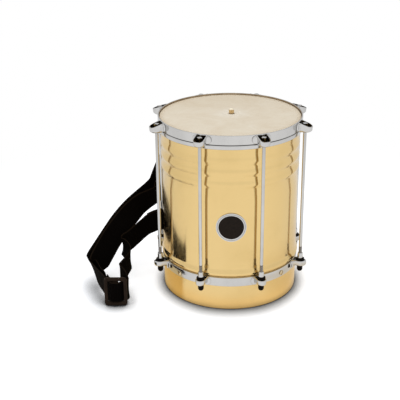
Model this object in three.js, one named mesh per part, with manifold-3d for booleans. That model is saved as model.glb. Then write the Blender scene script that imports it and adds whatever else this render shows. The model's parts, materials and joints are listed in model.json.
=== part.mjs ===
// A cuica: a friction drum with a spun brass shell, a natural skin head and a bamboo stick fixed to the
// middle of the skin from inside. Eight tension rods pull the counterhoop down over the skin.
// Units are millimetres, +Z is up, and the origin is on the drum's axis at the foot.
import * as THREE from "three";
import { mergeVertices } from "three/addons/utils/BufferGeometryUtils.js";
import Module from "manifold-3d";

const wasm = await Module();
wasm.setup();

// Driving dimensions of the whole drum
const shellRadius = 101.6;
const shellHeight = 266.4;
const shellWall = 1.2;
const rodCount = 8;
const rodStand = 12.2;
const seatGap = 0.3;
const overrun = 5;
const roundSteps = 48;
const smallSteps = 12;

// Shell: hem at the foot, shoulder bead above the lower ring, corrugations under the head
const hemWidth = 4;
const hemRound = 1.4;
const bearingRound = 0.5;
const beadFoot = 52.6;
const beadCrest = 57.4;
const beadTop = 66;
const beadProud = 2.6;
const waveCount = 3;
const waveDrop = 77.2;
const wavePitch = 17.5;
const waveCrestShare = 0.27;
const waveFallShare = 0.78;
const waveRisePower = 1.4;
const waveProud = 1.5;
const waveSunk = 0.3;
const crestSteps = 2;
const slopeSteps = 4;

// Skin head: its skirt goes down outside the shell into the flesh hoop's channel
const skinThick = 0.7;
const skirtStand = 1.4;
const skirtDrop = 14.3;
const bendSteps = 2;

// Flesh hoop: a channel ring that holds the skin's edge
const fleshDrop = 17.5;
const fleshHeight = 6.3;
const fleshProud = 0.4;
const fleshFloor = 1.4;
const fleshRound = 1.4;

// Counterhoop: a plain flat hoop that presses on the flesh hoop
const hoopWall = 2;
const hoopHeight = 13.9;
const hoopRound = 0.7;
const hoopSteps = 2;

// Rim lugs: open cups on the counterhoop, with a lobe on each side
const lugWidth = 17;
const lugNose = 11.2;
const lugWall = 1.4;
const lugBelow = 1.1;
const lugFloor = 2.1;
const lugNoseDrop = 6.4;
const lobeWidth = 29;
const lobeHeight = 11.6;
const lobeThick = 1.8;
const lobeRound = 4.6;

// Tension rods: a round shaft with a flange and a square head for a drum key
const rodDiameter = 5;
const rodRunningGap = 0.3;
const rodFoot = 38.6;
const rodFlangeDiameter = 9.4;
const rodFlangeThick = 1.6;
const rodHeadWidth = 5.8;
const rodHeadBelow = 1.8;
const rodTipChamfer = 0.8;

// Lower ring: a flat band under the shoulder bead, with an open eye for each rod
const bandFoot = 38.4;
const bandTop = 51.7;
const bandWall = 1.6;
const bandEdge = 0.4;
const eyeWidth = 15;
const eyeNose = 9.8;
const eyeFoot = 43.6;
const eyeTop = 52.3;
const eyeWall = 1.8;
const eyeFloor = 2.2;
const eyeLobeWidth = 24;
const eyeLobeHeight = 11.6;
const eyeLobeThick = 1.2;
const eyeLobeRound = 3;

// What the rod passes at its lower end: plastic bushing, metal ferrule and capped nut
const bushFlangeDiameter = 13;
const bushFlangeThick = 2.9;
const bushFlangeRound = 0.9;
const ferruleTop = 64.2;
const ferruleWide = 8.3;
const ferruleNarrow = 7.6;
const ferruleFootRound = 0.8;
const capFoot = 33.5;
const capDiameter = 8.8;
const capTaper = 0.4;
const capRound = 3.9;
const capFloor = 2;

// Screws that pin the lower ring to the shell, each with a nut inside
const screwCount = 4;
const screwSpreadDegrees = 1.6;
const screwHeight = 44.6;
const screwDiameter = 3;
const screwHeadDiameter = 7.6;
const screwHeadThick = 1.7;
const screwSlotWidth = 0.9;
const screwSlotDepth = 0.7;
const screwPastNut = 1;
const nutWidth = 5.5;
const nutThick = 2.4;
const nutSides = 6;

// Badge: a bare round plate with a raised rim, curved with the shell
const badgeShare = 0.49625;
const badgeDiameter = 43.6;
const badgeThick = 1.4;
const badgeRimWidth = 2.2;
const badgeRimProud = 0.5;
const badgeSteps = 36;

// Bamboo stick and the cord lashing that holds it under the skin. It is tied by hand, so it stands a
// little to the right of the drum's axis and behind it
const stickRight = 1.9;
const stickBack = 3.2;
const stickDiameter = 7.5;
const stickProud = 7;
const stickLength = 186;
const stickChamfer = 0.6;
const nodeDiameter = 9;
const nodeHeight = 3;
const nodeShares = [0.42, 0.79];
const lashDiameter = 13;
const lashHeight = 9;
const lashRound = 2.2;

// Shoulder strap: flat webbing on edge, in two stretches, with a three-bar slide buckle that stands on
// the floor. Each row is a point on the webbing's middle and the lean of its width: x, y, z, x and y per z.
// The rows are drawn for a rod circle of strapCircle and a shell of strapHeight, and follow the rods
const strapWidth = 34;
const strapCorners = 4;
const strapCircle = 113.8;
const strapHeight = 266.4;
const upperRod = 4;
const lowerRod = 5;
const strapThick = 1.5;
const buckleX = -169.5;
const buckleY = -89;
const buckleWidth = 33.6;
const buckleHeight = 46;
const buckleThick = 3.2;
const buckleRound = 5;
const buckleSideBar = 5;
const buckleRail = 5.4;
const buckleBarWidth = 5;
const buckleBarThick = 2.4;
const buckleSteps = 4;
const slidingTop = [
  [-40, 106.8, 225, 0, 0],
  [-42, 108.7, 225, 0, 0],
  [-45, 108.7, 225, 0, 0],
  [-50, 106.8, 224.5, 0, 0],
  [-57, 105, 221, -0.1, 0],
  [-65, 103.5, 213, -0.3, 0],
  [-74, 102, 200, -0.5, 0],
  [-84, 99.5, 184, -0.7, 0],
  [-94, 96, 167, -0.8, 0],
  [-103, 93, 148, -0.6, 0.05],
  [-113, 88, 126, -0.3, 0.05],
  [-124, 79, 116, -0.3, 0.1],
  [-138, 62, 108, -0.4, 0.25],
  [-153, 45, 99, -0.5, 0.35],
  [-169, 28, 85, -0.55, 0.35],
  [-185, 13, 65, -0.6, 0.35],
  [-198, 1, 48, -0.6, 0.35],
  [-206, -5, 37, -0.55, 0.3],
  [-210, -10.5, 31, -0.45, 0.2],
  [-211.5, -18, 28, -0.35, 0.15],
  [-209, -26, 26, -0.3, 0.1],
  [-204, -38, 25, -0.2, 0.05],
  [-197, -52, 24, -0.12, 0],
  [-189, -68, 24, -0.05, 0],
  [-185, -77, 23, 0, 0],
];
const slidingInBuckle = [
  [-14.5, 8.5],
  [-12.2, 4.6],
  [-10.4, 2.6],
  [-9.1, 0.6],
  [-6.9, -2.2],
  [-4.6, -3.8],
  [-3, -4.05],
  [3, -4.05],
  [4.6, -3.8],
  [6.9, -2.2],
  [9.1, 0.6],
  [10.7, 2.6],
  [13, 3.2],
];
const slidingFoot = [
  [-153.5, -84.6, 23, 0, 0],
  [-151.5, -80.5, 24, 0, 0],
  [-152.5, -76, 25, 0, 0],
  [-156, -68, 28, 0, 0],
  [-161, -59, 31, 0, 0],
  [-165, -51, 31, 0, 0],
  [-166, -46, 31, 0, 0],
  [-164, -42, 32, 0, 0],
  [-159, -35, 36, 0, 0],
  [-155, -27, 39, 0, 0],
  [-153, -20, 42, 0, 0],
  [-155, -12, 46, 0, 0],
  [-160.5, -5, 50.5, 0, 0],
  [-164, -1, 53.5, 0, 0],
  [-165, 2.5, 55, 0, 0],
  [-162, 6.5, 57, 0, 0],
  [-155, 11, 60, 0, 0],
  [-145.5, 19, 65.5, 0, 0],
  [-137, 27, 70.5, 0, 0],
  [-128, 35, 75, 0, 0],
  [-118, 38.5, 79, 0, 0],
  [-113, 39.8, 81, 0, 0],
  [-109, 40, 81.5, 0, 0],
  [-106.4, 39.8, 81.5, 0, 0],
  [-103.8, 39.8, 81.5, 0, 0],
  [-101.7, 41.6, 81.5, 0, 0],
  [-101.3, 44.2, 81.5, 0, 0],
  [-102.6, 46.5, 81.5, 0, 0],
  [-105.1, 47.4, 81.5, 0, 0],
  [-107.3, 46.7, 81.5, 0, 0],
  [-109.4, 44.6, 81.5, 0, 0],
  [-111.8, 42.7, 81.5, 0, 0],
  [-115, 41.5, 81, 0, 0],
  [-124, 38.8, 77.5, 0, 0],
];
const sewnTop = [
  [-39.7, 106, 225, 0, 0],
  [-39.9, 103.6, 225, 0, 0],
  [-42, 101.5, 225, 0, 0],
  [-46.8, 99.5, 224.5, 0, 0],
  [-53, 97.3, 221, -0.1, 0],
  [-61, 94.8, 212, -0.3, -0.1],
  [-70, 92, 198, -0.5, -0.2],
  [-80, 89.5, 181, -0.7, -0.3],
  [-90, 86.5, 162, -0.7, -0.3],
  [-100, 81, 139, -0.6, -0.3],
  [-109, 74, 119, -0.3, -0.25],
  [-118, 66, 112, 0, -0.2],
  [-129, 57, 109, -0.1, -0.1],
  [-142, 47, 104, -0.25, 0.1],
  [-155, 33.5, 95, -0.5, 0.3],
  [-169, 21, 81, -0.55, 0.35],
  [-183, 8.5, 64, -0.6, 0.35],
  [-194, -4, 47.5, -0.6, 0.35],
  [-199.5, -10.5, 38.5, -0.55, 0.3],
  [-203, -16, 32, -0.45, 0.2],
  [-202.5, -21.5, 29, -0.35, 0.15],
  [-200.5, -28, 28, -0.25, 0.1],
  [-197, -38, 26, -0.15, 0.05],
  [-194, -49, 25, -0.05, 0],
  [-188.5, -59, 24, 0, 0],
  [-186, -67.5, 24, 0, 0],
  [-182.8, -76, 23, 0, 0],
];
const sewnInBuckle = [
  [-10.3, 6.9],
  [-8.2, 3.6],
  [-5.6, 0],
  [-4, -1.75],
  [-2.5, -2.25],
  [2.5, -2.25],
  [3.55, -1.2],
  [3.55, 1.2],
  [2.5, 2.25],
  [-2.2, 2.4],
  [-5.2, 5],
  [-7.6, 8.8],
  [-10.2, 14],
  [-14, 22],
];

const rodPitch = (2 * Math.PI) / rodCount;
const rodAngle = (index) => (index + 0.5) * rodPitch - Math.PI / 2;
const rodCircle = shellRadius + rodStand;
const rodHole = rodDiameter + 2 * rodRunningGap;
const waveLowest = shellHeight - waveDrop;
const badgeHeight = shellHeight * badgeShare;
const skinTop = shellHeight + seatGap + skinThick;
const skirtInside = shellRadius + skirtStand;
const skirtOutside = skirtInside + skinThick;
const skirtFoot = shellHeight - skirtDrop;
const fleshFoot = shellHeight - fleshDrop;
const fleshTop = fleshFoot + fleshHeight;
const hoopInside = skirtOutside + seatGap;
const hoopOutside = hoopInside + hoopWall;
const hoopFoot = fleshTop + seatGap;
const hoopTop = hoopFoot + hoopHeight;
const fleshOutside = hoopOutside + fleshProud;
const lugReach = rodCircle + lugNose;
const lugFoot = hoopFoot - lugBelow;
const rodHeadTop = hoopTop - rodHeadBelow;
const eyeReach = rodCircle + eyeNose;
const bandInside = shellRadius + seatGap;
const bandOutside = bandInside + bandWall;

// Geometry helpers
const lathe = (points, steps) => {
  const profile = points.map(([radius, height]) => new THREE.Vector2(radius, height));
  return new THREE.LatheGeometry(profile, steps).rotateX(Math.PI / 2);
};

const ringOf = (points, steps = roundSteps) => lathe([...points, points[0]], steps);

const extrude = (shape, depth, curveSegments = smallSteps) =>
  new THREE.ExtrudeGeometry(shape, { depth, bevelEnabled: false, curveSegments });

const solidOf = (geometry) => {
  const bare = geometry.index ? geometry.toNonIndexed() : geometry.clone();
  bare.deleteAttribute("normal");
  bare.deleteAttribute("uv");
  const welded = mergeVertices(bare);
  return new wasm.Manifold(
    new wasm.Mesh({
      numProp: 3,
      vertProperties: new Float32Array(welded.attributes.position.array),
      triVerts: new Uint32Array(welded.index.array),
    }),
  );
};

const geometryOf = (solid) => {
  const mesh = solid.getMesh();
  const geometry = new THREE.BufferGeometry();
  geometry.setAttribute("position", new THREE.BufferAttribute(mesh.vertProperties, mesh.numProp));
  geometry.setIndex(new THREE.BufferAttribute(mesh.triVerts, 1));
  return geometry;
};

const arc = (centreX, centreY, radius, from, to, steps) =>
  Array.from({ length: steps + 1 }, (_, step) => {
    const angle = from + ((to - from) * step) / steps;
    return [centreX + radius * Math.cos(angle), centreY + radius * Math.sin(angle)];
  });

const aroundAxis = (geometry, angle) => geometry.clone().rotateZ(angle);

const cylinder = (diameter, from, to, steps = smallSteps) =>
  new THREE.CylinderGeometry(diameter / 2, diameter / 2, to - from, steps)
    .rotateX(Math.PI / 2)
    .translate(0, 0, (from + to) / 2);

const radialCylinder = (diameter, from, to, height, steps = smallSteps) =>
  new THREE.CylinderGeometry(diameter / 2, diameter / 2, to - from, steps)
    .rotateZ(Math.PI / 2)
    .translate((from + to) / 2, 0, height);

// An outline with four equal round corners, as a shape in the X-Y plane
const roundedPlate = (width, height, round) => {
  const side = width / 2 - round;
  const rise = height / 2 - round;
  const path = new THREE.Shape();
  path.moveTo(-side, -height / 2);
  path.absarc(side, -rise, round, -Math.PI / 2, 0, false);
  path.absarc(side, rise, round, 0, Math.PI / 2, false);
  path.absarc(-side, rise, round, Math.PI / 2, Math.PI, false);
  path.absarc(-side, -rise, round, Math.PI, (3 * Math.PI) / 2, false);
  return path;
};

// Materials
const finish = (colour, roughness, metalness) =>
  new THREE.MeshStandardMaterial({ color: colour, roughness, metalness });
const brass = () => finish(0xd9b25f, 0.18, 1);
const chrome = () => finish(0xcfcfd0, 0.12, 1);
const plastic = () => finish(0x15110f, 0.45, 0);
const skin = () => finish(0xdccfb9, 0.75, 0);
const bamboo = () => finish(0xc9a05f, 0.6, 0);
const webbing = () => finish(0x0c0a09, 0.9, 0);
const twine = () => finish(0xd8cfb8, 0.85, 0);
const enamel = () => finish(0x1d1613, 0.3, 0);

const cuica = new THREE.Group();
const add = (name, geometry, material) => {
  const mesh = new THREE.Mesh(geometry, material);
  mesh.name = name;
  cuica.add(mesh);
};

// Shell
const waveTop = waveLowest + waveCount * wavePitch;
const shellOffset = (height) => {
  if (height > beadFoot && height < beadCrest) {
    return beadProud * Math.sin(((height - beadFoot) / (beadCrest - beadFoot)) * (Math.PI / 2));
  }
  if (height >= beadCrest && height < beadTop) {
    return beadProud * Math.cos(((height - beadCrest) / (beadTop - beadCrest)) * (Math.PI / 2)) ** 2;
  }
  if (height < waveLowest || height >= waveTop) {
    return 0;
  }
  const share = ((height - waveLowest) / wavePitch) % 1;
  const fall = (share - waveCrestShare) / (1 - waveCrestShare) / waveFallShare;
  const rise =
    share < waveCrestShare
      ? 1 - (1 - share / waveCrestShare) ** waveRisePower
      : Math.cos((Math.PI / 2) * Math.min(1, fall)) ** 2;
  return waveProud * rise - waveSunk * (1 - rise) * (height < waveTop - wavePitch ? 1 : 0);
};

const between = (from, to, steps, step) => from + ((to - from) * step) / steps;
const shellProfile = (radius, steps, slopes) => {
  const heights = [];
  for (let step = 0; step < steps; step += 1) {
    heights.push(between(beadFoot, beadCrest, steps, step));
  }
  for (let step = 0; step <= steps; step += 1) {
    heights.push(between(beadCrest, beadTop, steps, step));
  }
  for (let wave = 0; wave < waveCount; wave += 1) {
    const foot = waveLowest + wave * wavePitch;
    const crest = foot + waveCrestShare * wavePitch;
    for (let step = 0; step < steps; step += 1) {
      heights.push(between(foot, crest, steps, step));
    }
    for (let step = 0; step < slopes; step += 1) {
      heights.push(between(crest, foot + wavePitch, slopes, step));
    }
  }
  heights.push(waveTop);
  return heights.map((height) => [radius + shellOffset(height), height]);
};

const shellGeometry = () => {
  const inner = shellRadius - shellWall;
  const hemInside = inner - hemWidth;
  return ringOf([
    [hemInside, 0],
    ...arc(shellRadius - hemRound, hemRound, hemRound, -Math.PI / 2, 0, bendSteps),
    ...shellProfile(shellRadius, crestSteps, slopeSteps),
    ...arc(shellRadius - bearingRound, shellHeight - bearingRound, bearingRound, 0, Math.PI / 2, bendSteps),
    [inner, shellHeight],
    ...shellProfile(inner, 1, 1).reverse(),
    [inner, shellWall],
    [hemInside, shellWall],
  ]);
};
const screwPitch = (2 * Math.PI) / screwCount;
const screwSpread = THREE.MathUtils.degToRad(screwSpreadDegrees);
const screwAngle = (index) => (index + 0.5) * screwPitch - Math.PI / 2 + (-1) ** index * screwSpread;
const screwHoles = () => {
  const hole = radialCylinder(
    screwDiameter + 2 * seatGap,
    shellRadius - shellWall - overrun,
    bandOutside + overrun,
    screwHeight,
  );
  return Array.from({ length: screwCount }, (_, index) => solidOf(aroundAxis(hole, screwAngle(index))));
};
const drill = (geometry) => {
  const body = screwHoles().reduce((rest, hole) => rest.subtract(hole), solidOf(geometry));
  return geometryOf(body);
};
add("shell", drill(shellGeometry()), brass());

// Skin head
const skinHole = stickDiameter + 2 * seatGap;
const atStick = (geometry) => geometry.translate(stickRight, stickBack, 0);
const skinGeometry = () => {
  const under = skinTop - skinThick;
  const innerBend = skirtInside - shellRadius;
  const outerBend = innerBend + skinThick;
  const whole = lathe(
    [
      [0, under],
      ...arc(shellRadius, under - innerBend, innerBend, Math.PI / 2, 0, bendSteps),
      [skirtInside, skirtFoot],
      [skirtOutside, skirtFoot],
      ...arc(shellRadius, under - innerBend, outerBend, 0, Math.PI / 2, bendSteps),
      [0, skinTop],
    ],
    roundSteps,
  );
  const hole = atStick(cylinder(skinHole, under - overrun, skinTop + overrun, roundSteps));
  return geometryOf(solidOf(whole).subtract(solidOf(hole)));
};
add("head_skin", skinGeometry(), skin());

// Flesh hoop
const fleshGeometry = () => {
  const floor = fleshFoot + fleshFloor;
  return ringOf([
    [shellRadius + seatGap, fleshFoot],
    ...arc(fleshOutside - fleshRound, fleshFoot + fleshRound, fleshRound, -Math.PI / 2, 0, bendSteps),
    ...arc(fleshOutside - fleshRound, fleshTop - fleshRound, fleshRound, 0, Math.PI / 2, bendSteps),
    [hoopInside, fleshTop],
    [hoopInside, floor],
    [skirtInside - seatGap, floor],
    [skirtInside - seatGap, fleshTop],
    [shellRadius + seatGap, fleshTop],
  ]);
};
add("flesh_hoop", fleshGeometry(), chrome());

// Counterhoop
const hoopGeometry = () =>
  ringOf([
    [hoopInside, hoopFoot],
    [hoopOutside, hoopFoot],
    ...arc(hoopOutside - hoopRound, hoopTop - hoopRound, hoopRound, 0, Math.PI / 2, hoopSteps),
    ...arc(hoopInside + hoopRound, hoopTop - hoopRound, hoopRound, Math.PI / 2, Math.PI, hoopSteps),
  ]);
add("counterhoop", hoopGeometry(), chrome());

// A plan outline with straight sides and a half-elliptic nose, as a shape in the X-Y plane
const nosedShape = (back, axis, front, halfWidth) => {
  const shape = new THREE.Shape();
  shape.moveTo(back, -halfWidth);
  shape.lineTo(axis, -halfWidth);
  shape.absellipse(axis, 0, front - axis, halfWidth, -Math.PI / 2, Math.PI / 2, false, 0);
  shape.lineTo(back, halfWidth);
  shape.closePath();
  return shape;
};

// Rim lugs
const lugSteps = 6;
const lugGeometry = () => {
  const back = hoopOutside + seatGap;
  const root = back - overrun;
  const cup = extrude(nosedShape(root, rodCircle, lugReach, lugWidth / 2), hoopTop - lugFoot, lugSteps);
  const room = extrude(
    nosedShape(root - overrun, rodCircle, lugReach - lugWall, lugWidth / 2 - lugWall),
    hoopTop - lugFoot,
    lugSteps,
  );
  const slopeAngle = Math.atan2(lugNoseDrop, lugReach - back);
  const top = new THREE.BoxGeometry(lugReach, lobeWidth, hoopHeight)
    .translate(lugReach / 2, 0, hoopHeight / 2)
    .rotateY(slopeAngle)
    .translate(back, 0, hoopTop);
  const lobes = extrude(roundedPlate(lobeWidth, lobeHeight, lobeRound), lobeThick + overrun, bendSteps)
    .rotateX(Math.PI / 2)
    .rotateZ(Math.PI / 2)
    .translate(root, 0, (hoopFoot + hoopTop) / 2);
  const core = cylinder(2 * back, lugFoot - overrun, hoopTop + overrun, roundSteps).rotateZ(rodPitch / 2);
  const hole = cylinder(rodHole, lugFoot - overrun, hoopTop).translate(rodCircle, 0, 0);
  const body = solidOf(cup.translate(0, 0, lugFoot))
    .add(solidOf(lobes))
    .subtract(solidOf(room.translate(0, 0, lugFoot + lugFloor)))
    .subtract(solidOf(top))
    .subtract(solidOf(core))
    .subtract(solidOf(hole));
  return geometryOf(body);
};

// Tension rods
const rodGeometry = () => {
  const seat = lugFoot + lugFloor + seatGap;
  const flangeTop = seat + rodFlangeThick;
  const radius = rodDiameter / 2;
  const turned = lathe(
    [
      [0, rodFoot],
      [radius - rodTipChamfer, rodFoot],
      [radius, rodFoot + rodTipChamfer],
      [radius, seat],
      [rodFlangeDiameter / 2, seat],
      [rodFlangeDiameter / 2, flangeTop],
      [0, flangeTop],
    ],
    smallSteps,
  );
  const headHeight = rodHeadTop - seat - rodFlangeThick / 2;
  const head = new THREE.BoxGeometry(rodHeadWidth, rodHeadWidth, headHeight)
    .rotateZ(Math.PI / 4)
    .translate(0, 0, rodHeadTop - headHeight / 2);
  return geometryOf(solidOf(turned).add(solidOf(head)));
};

// Lower ring
const eyeSteps = 6;
const eyeAxisBack = bandOutside - bandWall / 2;
const eyeSolid = () => {
  const outline = nosedShape(eyeAxisBack, rodCircle, eyeReach, eyeWidth / 2);
  const outer = extrude(outline, eyeTop - eyeFoot, eyeSteps).translate(0, 0, eyeFoot);
  const room = extrude(
    nosedShape(bandOutside + eyeWall, rodCircle, eyeReach - eyeWall, eyeWidth / 2 - eyeWall),
    eyeTop,
    eyeSteps,
  ).translate(0, 0, eyeFoot + eyeFloor);
  const plate = roundedPlate(eyeLobeWidth, eyeLobeHeight, eyeLobeRound);
  const lobes = extrude(plate, bandOutside + eyeLobeThick - eyeAxisBack, bendSteps)
    .rotateX(Math.PI / 2)
    .rotateZ(Math.PI / 2)
    .translate(eyeAxisBack, 0, (bandFoot + bandTop) / 2);
  const hole = cylinder(rodHole, eyeFoot - overrun, eyeTop).translate(rodCircle, 0, 0);
  return solidOf(outer).add(solidOf(lobes)).subtract(solidOf(room)).subtract(solidOf(hole));
};
const lowerRingGeometry = () => {
  const band = ringOf([
    [bandInside, bandFoot],
    [bandOutside - bandEdge, bandFoot],
    [bandOutside, bandFoot + bandEdge],
    [bandOutside, bandTop - bandEdge],
    [bandOutside - bandEdge, bandTop],
    [bandInside, bandTop],
  ]);
  const eye = geometryOf(eyeSolid());
  let body = solidOf(band);
  for (let index = 0; index < rodCount; index += 1) {
    body = body.add(solidOf(aroundAxis(eye, rodAngle(index))));
  }
  return geometryOf(body);
};
add("lower_ring", drill(lowerRingGeometry()), chrome());

// Bushing, ferrule and capped nut on each rod
const bushSeat = eyeTop + seatGap;
const bushTop = bushSeat + bushFlangeThick;
const bushGeometry = () => {
  const wide = bushFlangeDiameter / 2;
  const body = eyeWidth / 2 - eyeWall - seatGap;
  return ringOf(
    [
      [rodHole / 2, eyeFoot + eyeFloor + seatGap],
      [body, eyeFoot + eyeFloor + seatGap],
      [body, bushSeat],
      [wide - bushFlangeRound, bushSeat],
      [wide, bushSeat + bushFlangeRound],
      [wide, bushTop - bushFlangeRound],
      [wide - bushFlangeRound, bushTop],
      [rodHole / 2, bushTop],
    ],
    smallSteps,
  );
};
const ferruleGeometry = () => {
  const foot = bushTop + seatGap;
  return ringOf(
    [
      [rodHole / 2, foot],
      [ferruleWide / 2 - ferruleFootRound, foot],
      [ferruleWide / 2, foot + ferruleFootRound],
      [ferruleNarrow / 2, ferruleTop],
      [rodHole / 2, ferruleTop],
    ],
    smallSteps,
  );
};
const capGeometry = () => {
  const top = eyeFoot - seatGap;
  const wide = capDiameter / 2;
  return lathe(
    [
      [0, capFoot],
      ...arc(wide - capTaper - capRound, capFoot + capRound, capRound, -Math.PI / 2, 0, bendSteps),
      [wide, top],
      [rodHole / 2, top],
      [rodHole / 2, capFoot + capFloor],
      [0, capFoot + capFloor],
    ],
    smallSteps,
  );
};

const lug = lugGeometry();
const rod = rodGeometry();
const bush = bushGeometry();
const ferrule = ferruleGeometry();
const cap = capGeometry();
for (let index = 0; index < rodCount; index += 1) {
  const angle = rodAngle(index);
  const onRod = (geometry) => aroundAxis(geometry.clone().translate(rodCircle, 0, 0), angle);
  const number = index + 1;
  add(`rim_lug_${number}`, aroundAxis(lug, angle), chrome());
  add(`tension_rod_${number}`, onRod(rod), chrome());
  add(`bushing_${number}`, onRod(bush), plastic());
  add(`ferrule_${number}`, onRod(ferrule), chrome());
  add(`capped_nut_${number}`, onRod(cap), plastic());
}

// Screws and their nuts
const screwGeometry = () => {
  const seat = bandOutside + seatGap;
  const inside = shellRadius - shellWall - seatGap - nutThick - screwPastNut;
  const top = seat + screwHeadThick;
  const shank = radialCylinder(screwDiameter, inside, seat + screwHeadThick / 2, screwHeight, nutSides * 2);
  const head = radialCylinder(screwHeadDiameter, seat, top, screwHeight);
  const slot = new THREE.BoxGeometry(2 * screwSlotDepth, screwSlotWidth, screwHeadDiameter + overrun)
    .translate(top, 0, screwHeight);
  return geometryOf(solidOf(shank).add(solidOf(head)).subtract(solidOf(slot)));
};
const nutGeometry = () => {
  const face = shellRadius - shellWall - seatGap;
  const across = nutWidth / Math.cos(Math.PI / nutSides);
  const body = radialCylinder(across, face - nutThick, face, screwHeight, nutSides);
  const bore = radialCylinder(
    screwDiameter + 2 * seatGap,
    face - nutThick - overrun,
    face + overrun,
    screwHeight,
    nutSides * 2,
  );
  return geometryOf(solidOf(body).subtract(solidOf(bore)));
};
const screw = screwGeometry();
const screwNut = nutGeometry();
for (let index = 0; index < screwCount; index += 1) {
  add(`ring_screw_${index + 1}`, aroundAxis(screw, screwAngle(index)), brass());
  add(`screw_nut_${index + 1}`, aroundAxis(screwNut, screwAngle(index)), chrome());
}

// Badge
const badgeGeometry = () => {
  const back = shellRadius + seatGap;
  const face = back + badgeThick;
  const reach = face + badgeRimProud;
  const disc = (diameter) =>
    solidOf(radialCylinder(diameter, back - overrun, reach + overrun, badgeHeight, badgeSteps));
  const half = badgeDiameter;
  const tube = (radius) =>
    solidOf(cylinder(2 * radius, badgeHeight - half, badgeHeight + half, 2 * roundSteps));
  const rim = disc(badgeDiameter).subtract(disc(badgeDiameter - 2 * badgeRimWidth)).intersect(tube(reach));
  const plate = disc(badgeDiameter).intersect(tube(face));
  return geometryOf(plate.add(rim).subtract(tube(back)));
};
add("badge", aroundAxis(badgeGeometry(), -Math.PI / 2), enamel());

// Bamboo stick and lashing
const stickGeometry = () => {
  const radius = stickDiameter / 2;
  const tip = skinTop + stickProud;
  const foot = tip - stickLength;
  const nodes = nodeShares.flatMap((share) => {
    const middle = foot + share * stickLength;
    return [
      [radius, middle - nodeHeight],
      [nodeDiameter / 2, middle],
      [radius, middle + nodeHeight],
    ];
  });
  return lathe(
    [
      [0, foot],
      [radius - stickChamfer, foot],
      [radius, foot + stickChamfer],
      ...nodes,
      [radius, tip - stickChamfer],
      [radius - stickChamfer, tip],
      [0, tip],
    ],
    smallSteps,
  );
};
const lashGeometry = () => {
  const top = skinTop - skinThick - seatGap;
  const foot = top - lashHeight;
  const outer = lashDiameter / 2;
  const inner = stickDiameter / 2 + seatGap;
  return ringOf(
    [
      [inner, foot],
      [outer - lashRound, foot],
      [outer, foot + lashRound],
      [outer, top - lashRound],
      [outer - lashRound, top],
      [inner, top],
    ],
    smallSteps,
  );
};
add("bamboo_stick", atStick(stickGeometry()), bamboo());
add("stick_lashing", atStick(lashGeometry()), twine());

// How far the strap's two rods have gone from where its rows are drawn. The buckle keeps with the lower one
const rodShift = (index, rise) => {
  const reach = rodCircle - strapCircle;
  return [reach * Math.cos(rodAngle(index)), reach * Math.sin(rodAngle(index)), rise];
};
const upperShift = rodShift(upperRod, shellHeight - strapHeight);
const lowerShift = rodShift(lowerRod, 0);

// Buckle
const buckleMiddle = seatGap + buckleHeight / 2;
const buckleGeometry = () => {
  const frame = roundedPlate(buckleWidth, buckleHeight, buckleRound);
  const halfWidth = buckleWidth / 2 - buckleSideBar;
  const halfHeight = buckleHeight / 2 - buckleRail;
  const window = new THREE.BoxGeometry(2 * halfWidth, buckleThick + overrun, 2 * halfHeight);
  const bar = new THREE.BoxGeometry(buckleBarWidth, buckleBarThick, buckleHeight - buckleRail);
  const plate = extrude(frame, buckleThick, buckleSteps)
    .rotateX(Math.PI / 2)
    .translate(0, buckleThick / 2, 0);
  const body = solidOf(plate).subtract(solidOf(window)).add(solidOf(bar));
  return geometryOf(body).translate(buckleX + lowerShift[0], buckleY + lowerShift[1], buckleMiddle);
};
add("strap_buckle", buckleGeometry(), plastic());

// Strap: a flat section swept along its rows, with its width held square to the run. Its two broad
// sides are cut along the same diagonals, so that its thickness stays the same where it twists
const ribbonGeometry = (rows) => {
  const middles = rows.map(([x, y, z]) => new THREE.Vector3(x, y, z));
  const positions = [];
  const faces = [];
  rows.forEach(([, , , leanX, leanY], index) => {
    const before = middles[Math.max(index - 1, 0)];
    const after = middles[Math.min(index + 1, rows.length - 1)];
    const along = after.clone().sub(before).normalize();
    const across = new THREE.Vector3(leanX, leanY, 1);
    across.addScaledVector(along, -across.dot(along)).normalize();
    const outward = along.clone().cross(across).multiplyScalar(strapThick / 2);
    across.multiplyScalar(strapWidth / 2);
    const up = middles[index].clone().add(across);
    const down = middles[index].clone().sub(across);
    const corners = [
      up.clone().add(outward),
      down.clone().add(outward),
      down.clone().sub(outward),
      up.clone().sub(outward),
    ];
    corners.forEach((corner) => positions.push(...corner.toArray()));
  });
  const last = (rows.length - 1) * strapCorners;
  for (let first = 0; first < last; first += strapCorners) {
    for (let side = 0; side < strapCorners; side += 1) {
      const next = first + ((side + 1) % strapCorners);
      const [here, ahead] = [first + side, first + side + strapCorners];
      if (side < strapCorners / 2) {
        faces.push(here, next, next + strapCorners, here, next + strapCorners, ahead);
      } else {
        faces.push(here, next, ahead, next, next + strapCorners, ahead);
      }
    }
  }
  for (let side = 1; side + 1 < strapCorners; side += 1) {
    faces.push(0, side + 1, side);
    faces.push(last, last + side, last + side + 1);
  }
  const geometry = new THREE.BufferGeometry();
  geometry.setAttribute("position", new THREE.Float32BufferAttribute(positions, 3));
  geometry.setIndex(faces);
  return geometry;
};
const moved = (rows, from, to) =>
  rows.map(([x, y, z, leanX, leanY], index) => {
    const share = THREE.MathUtils.smoothstep(index, 0, rows.length - 1);
    const shift = from.map((start, axis) => THREE.MathUtils.lerp(start, to[axis], share));
    const [shiftX, shiftY, shiftZ] = shift;
    return [x + shiftX, y + shiftY, z + shiftZ, leanX, leanY];
  });
const inBuckle = (rows) =>
  moved(rows.map(([x, y]) => [buckleX + x, buckleY + y, buckleMiddle, 0, 0]), lowerShift, lowerShift);
const slidingRows = [
  ...moved(slidingTop, upperShift, lowerShift),
  ...inBuckle(slidingInBuckle),
  ...moved(slidingFoot, lowerShift, lowerShift),
];
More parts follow.
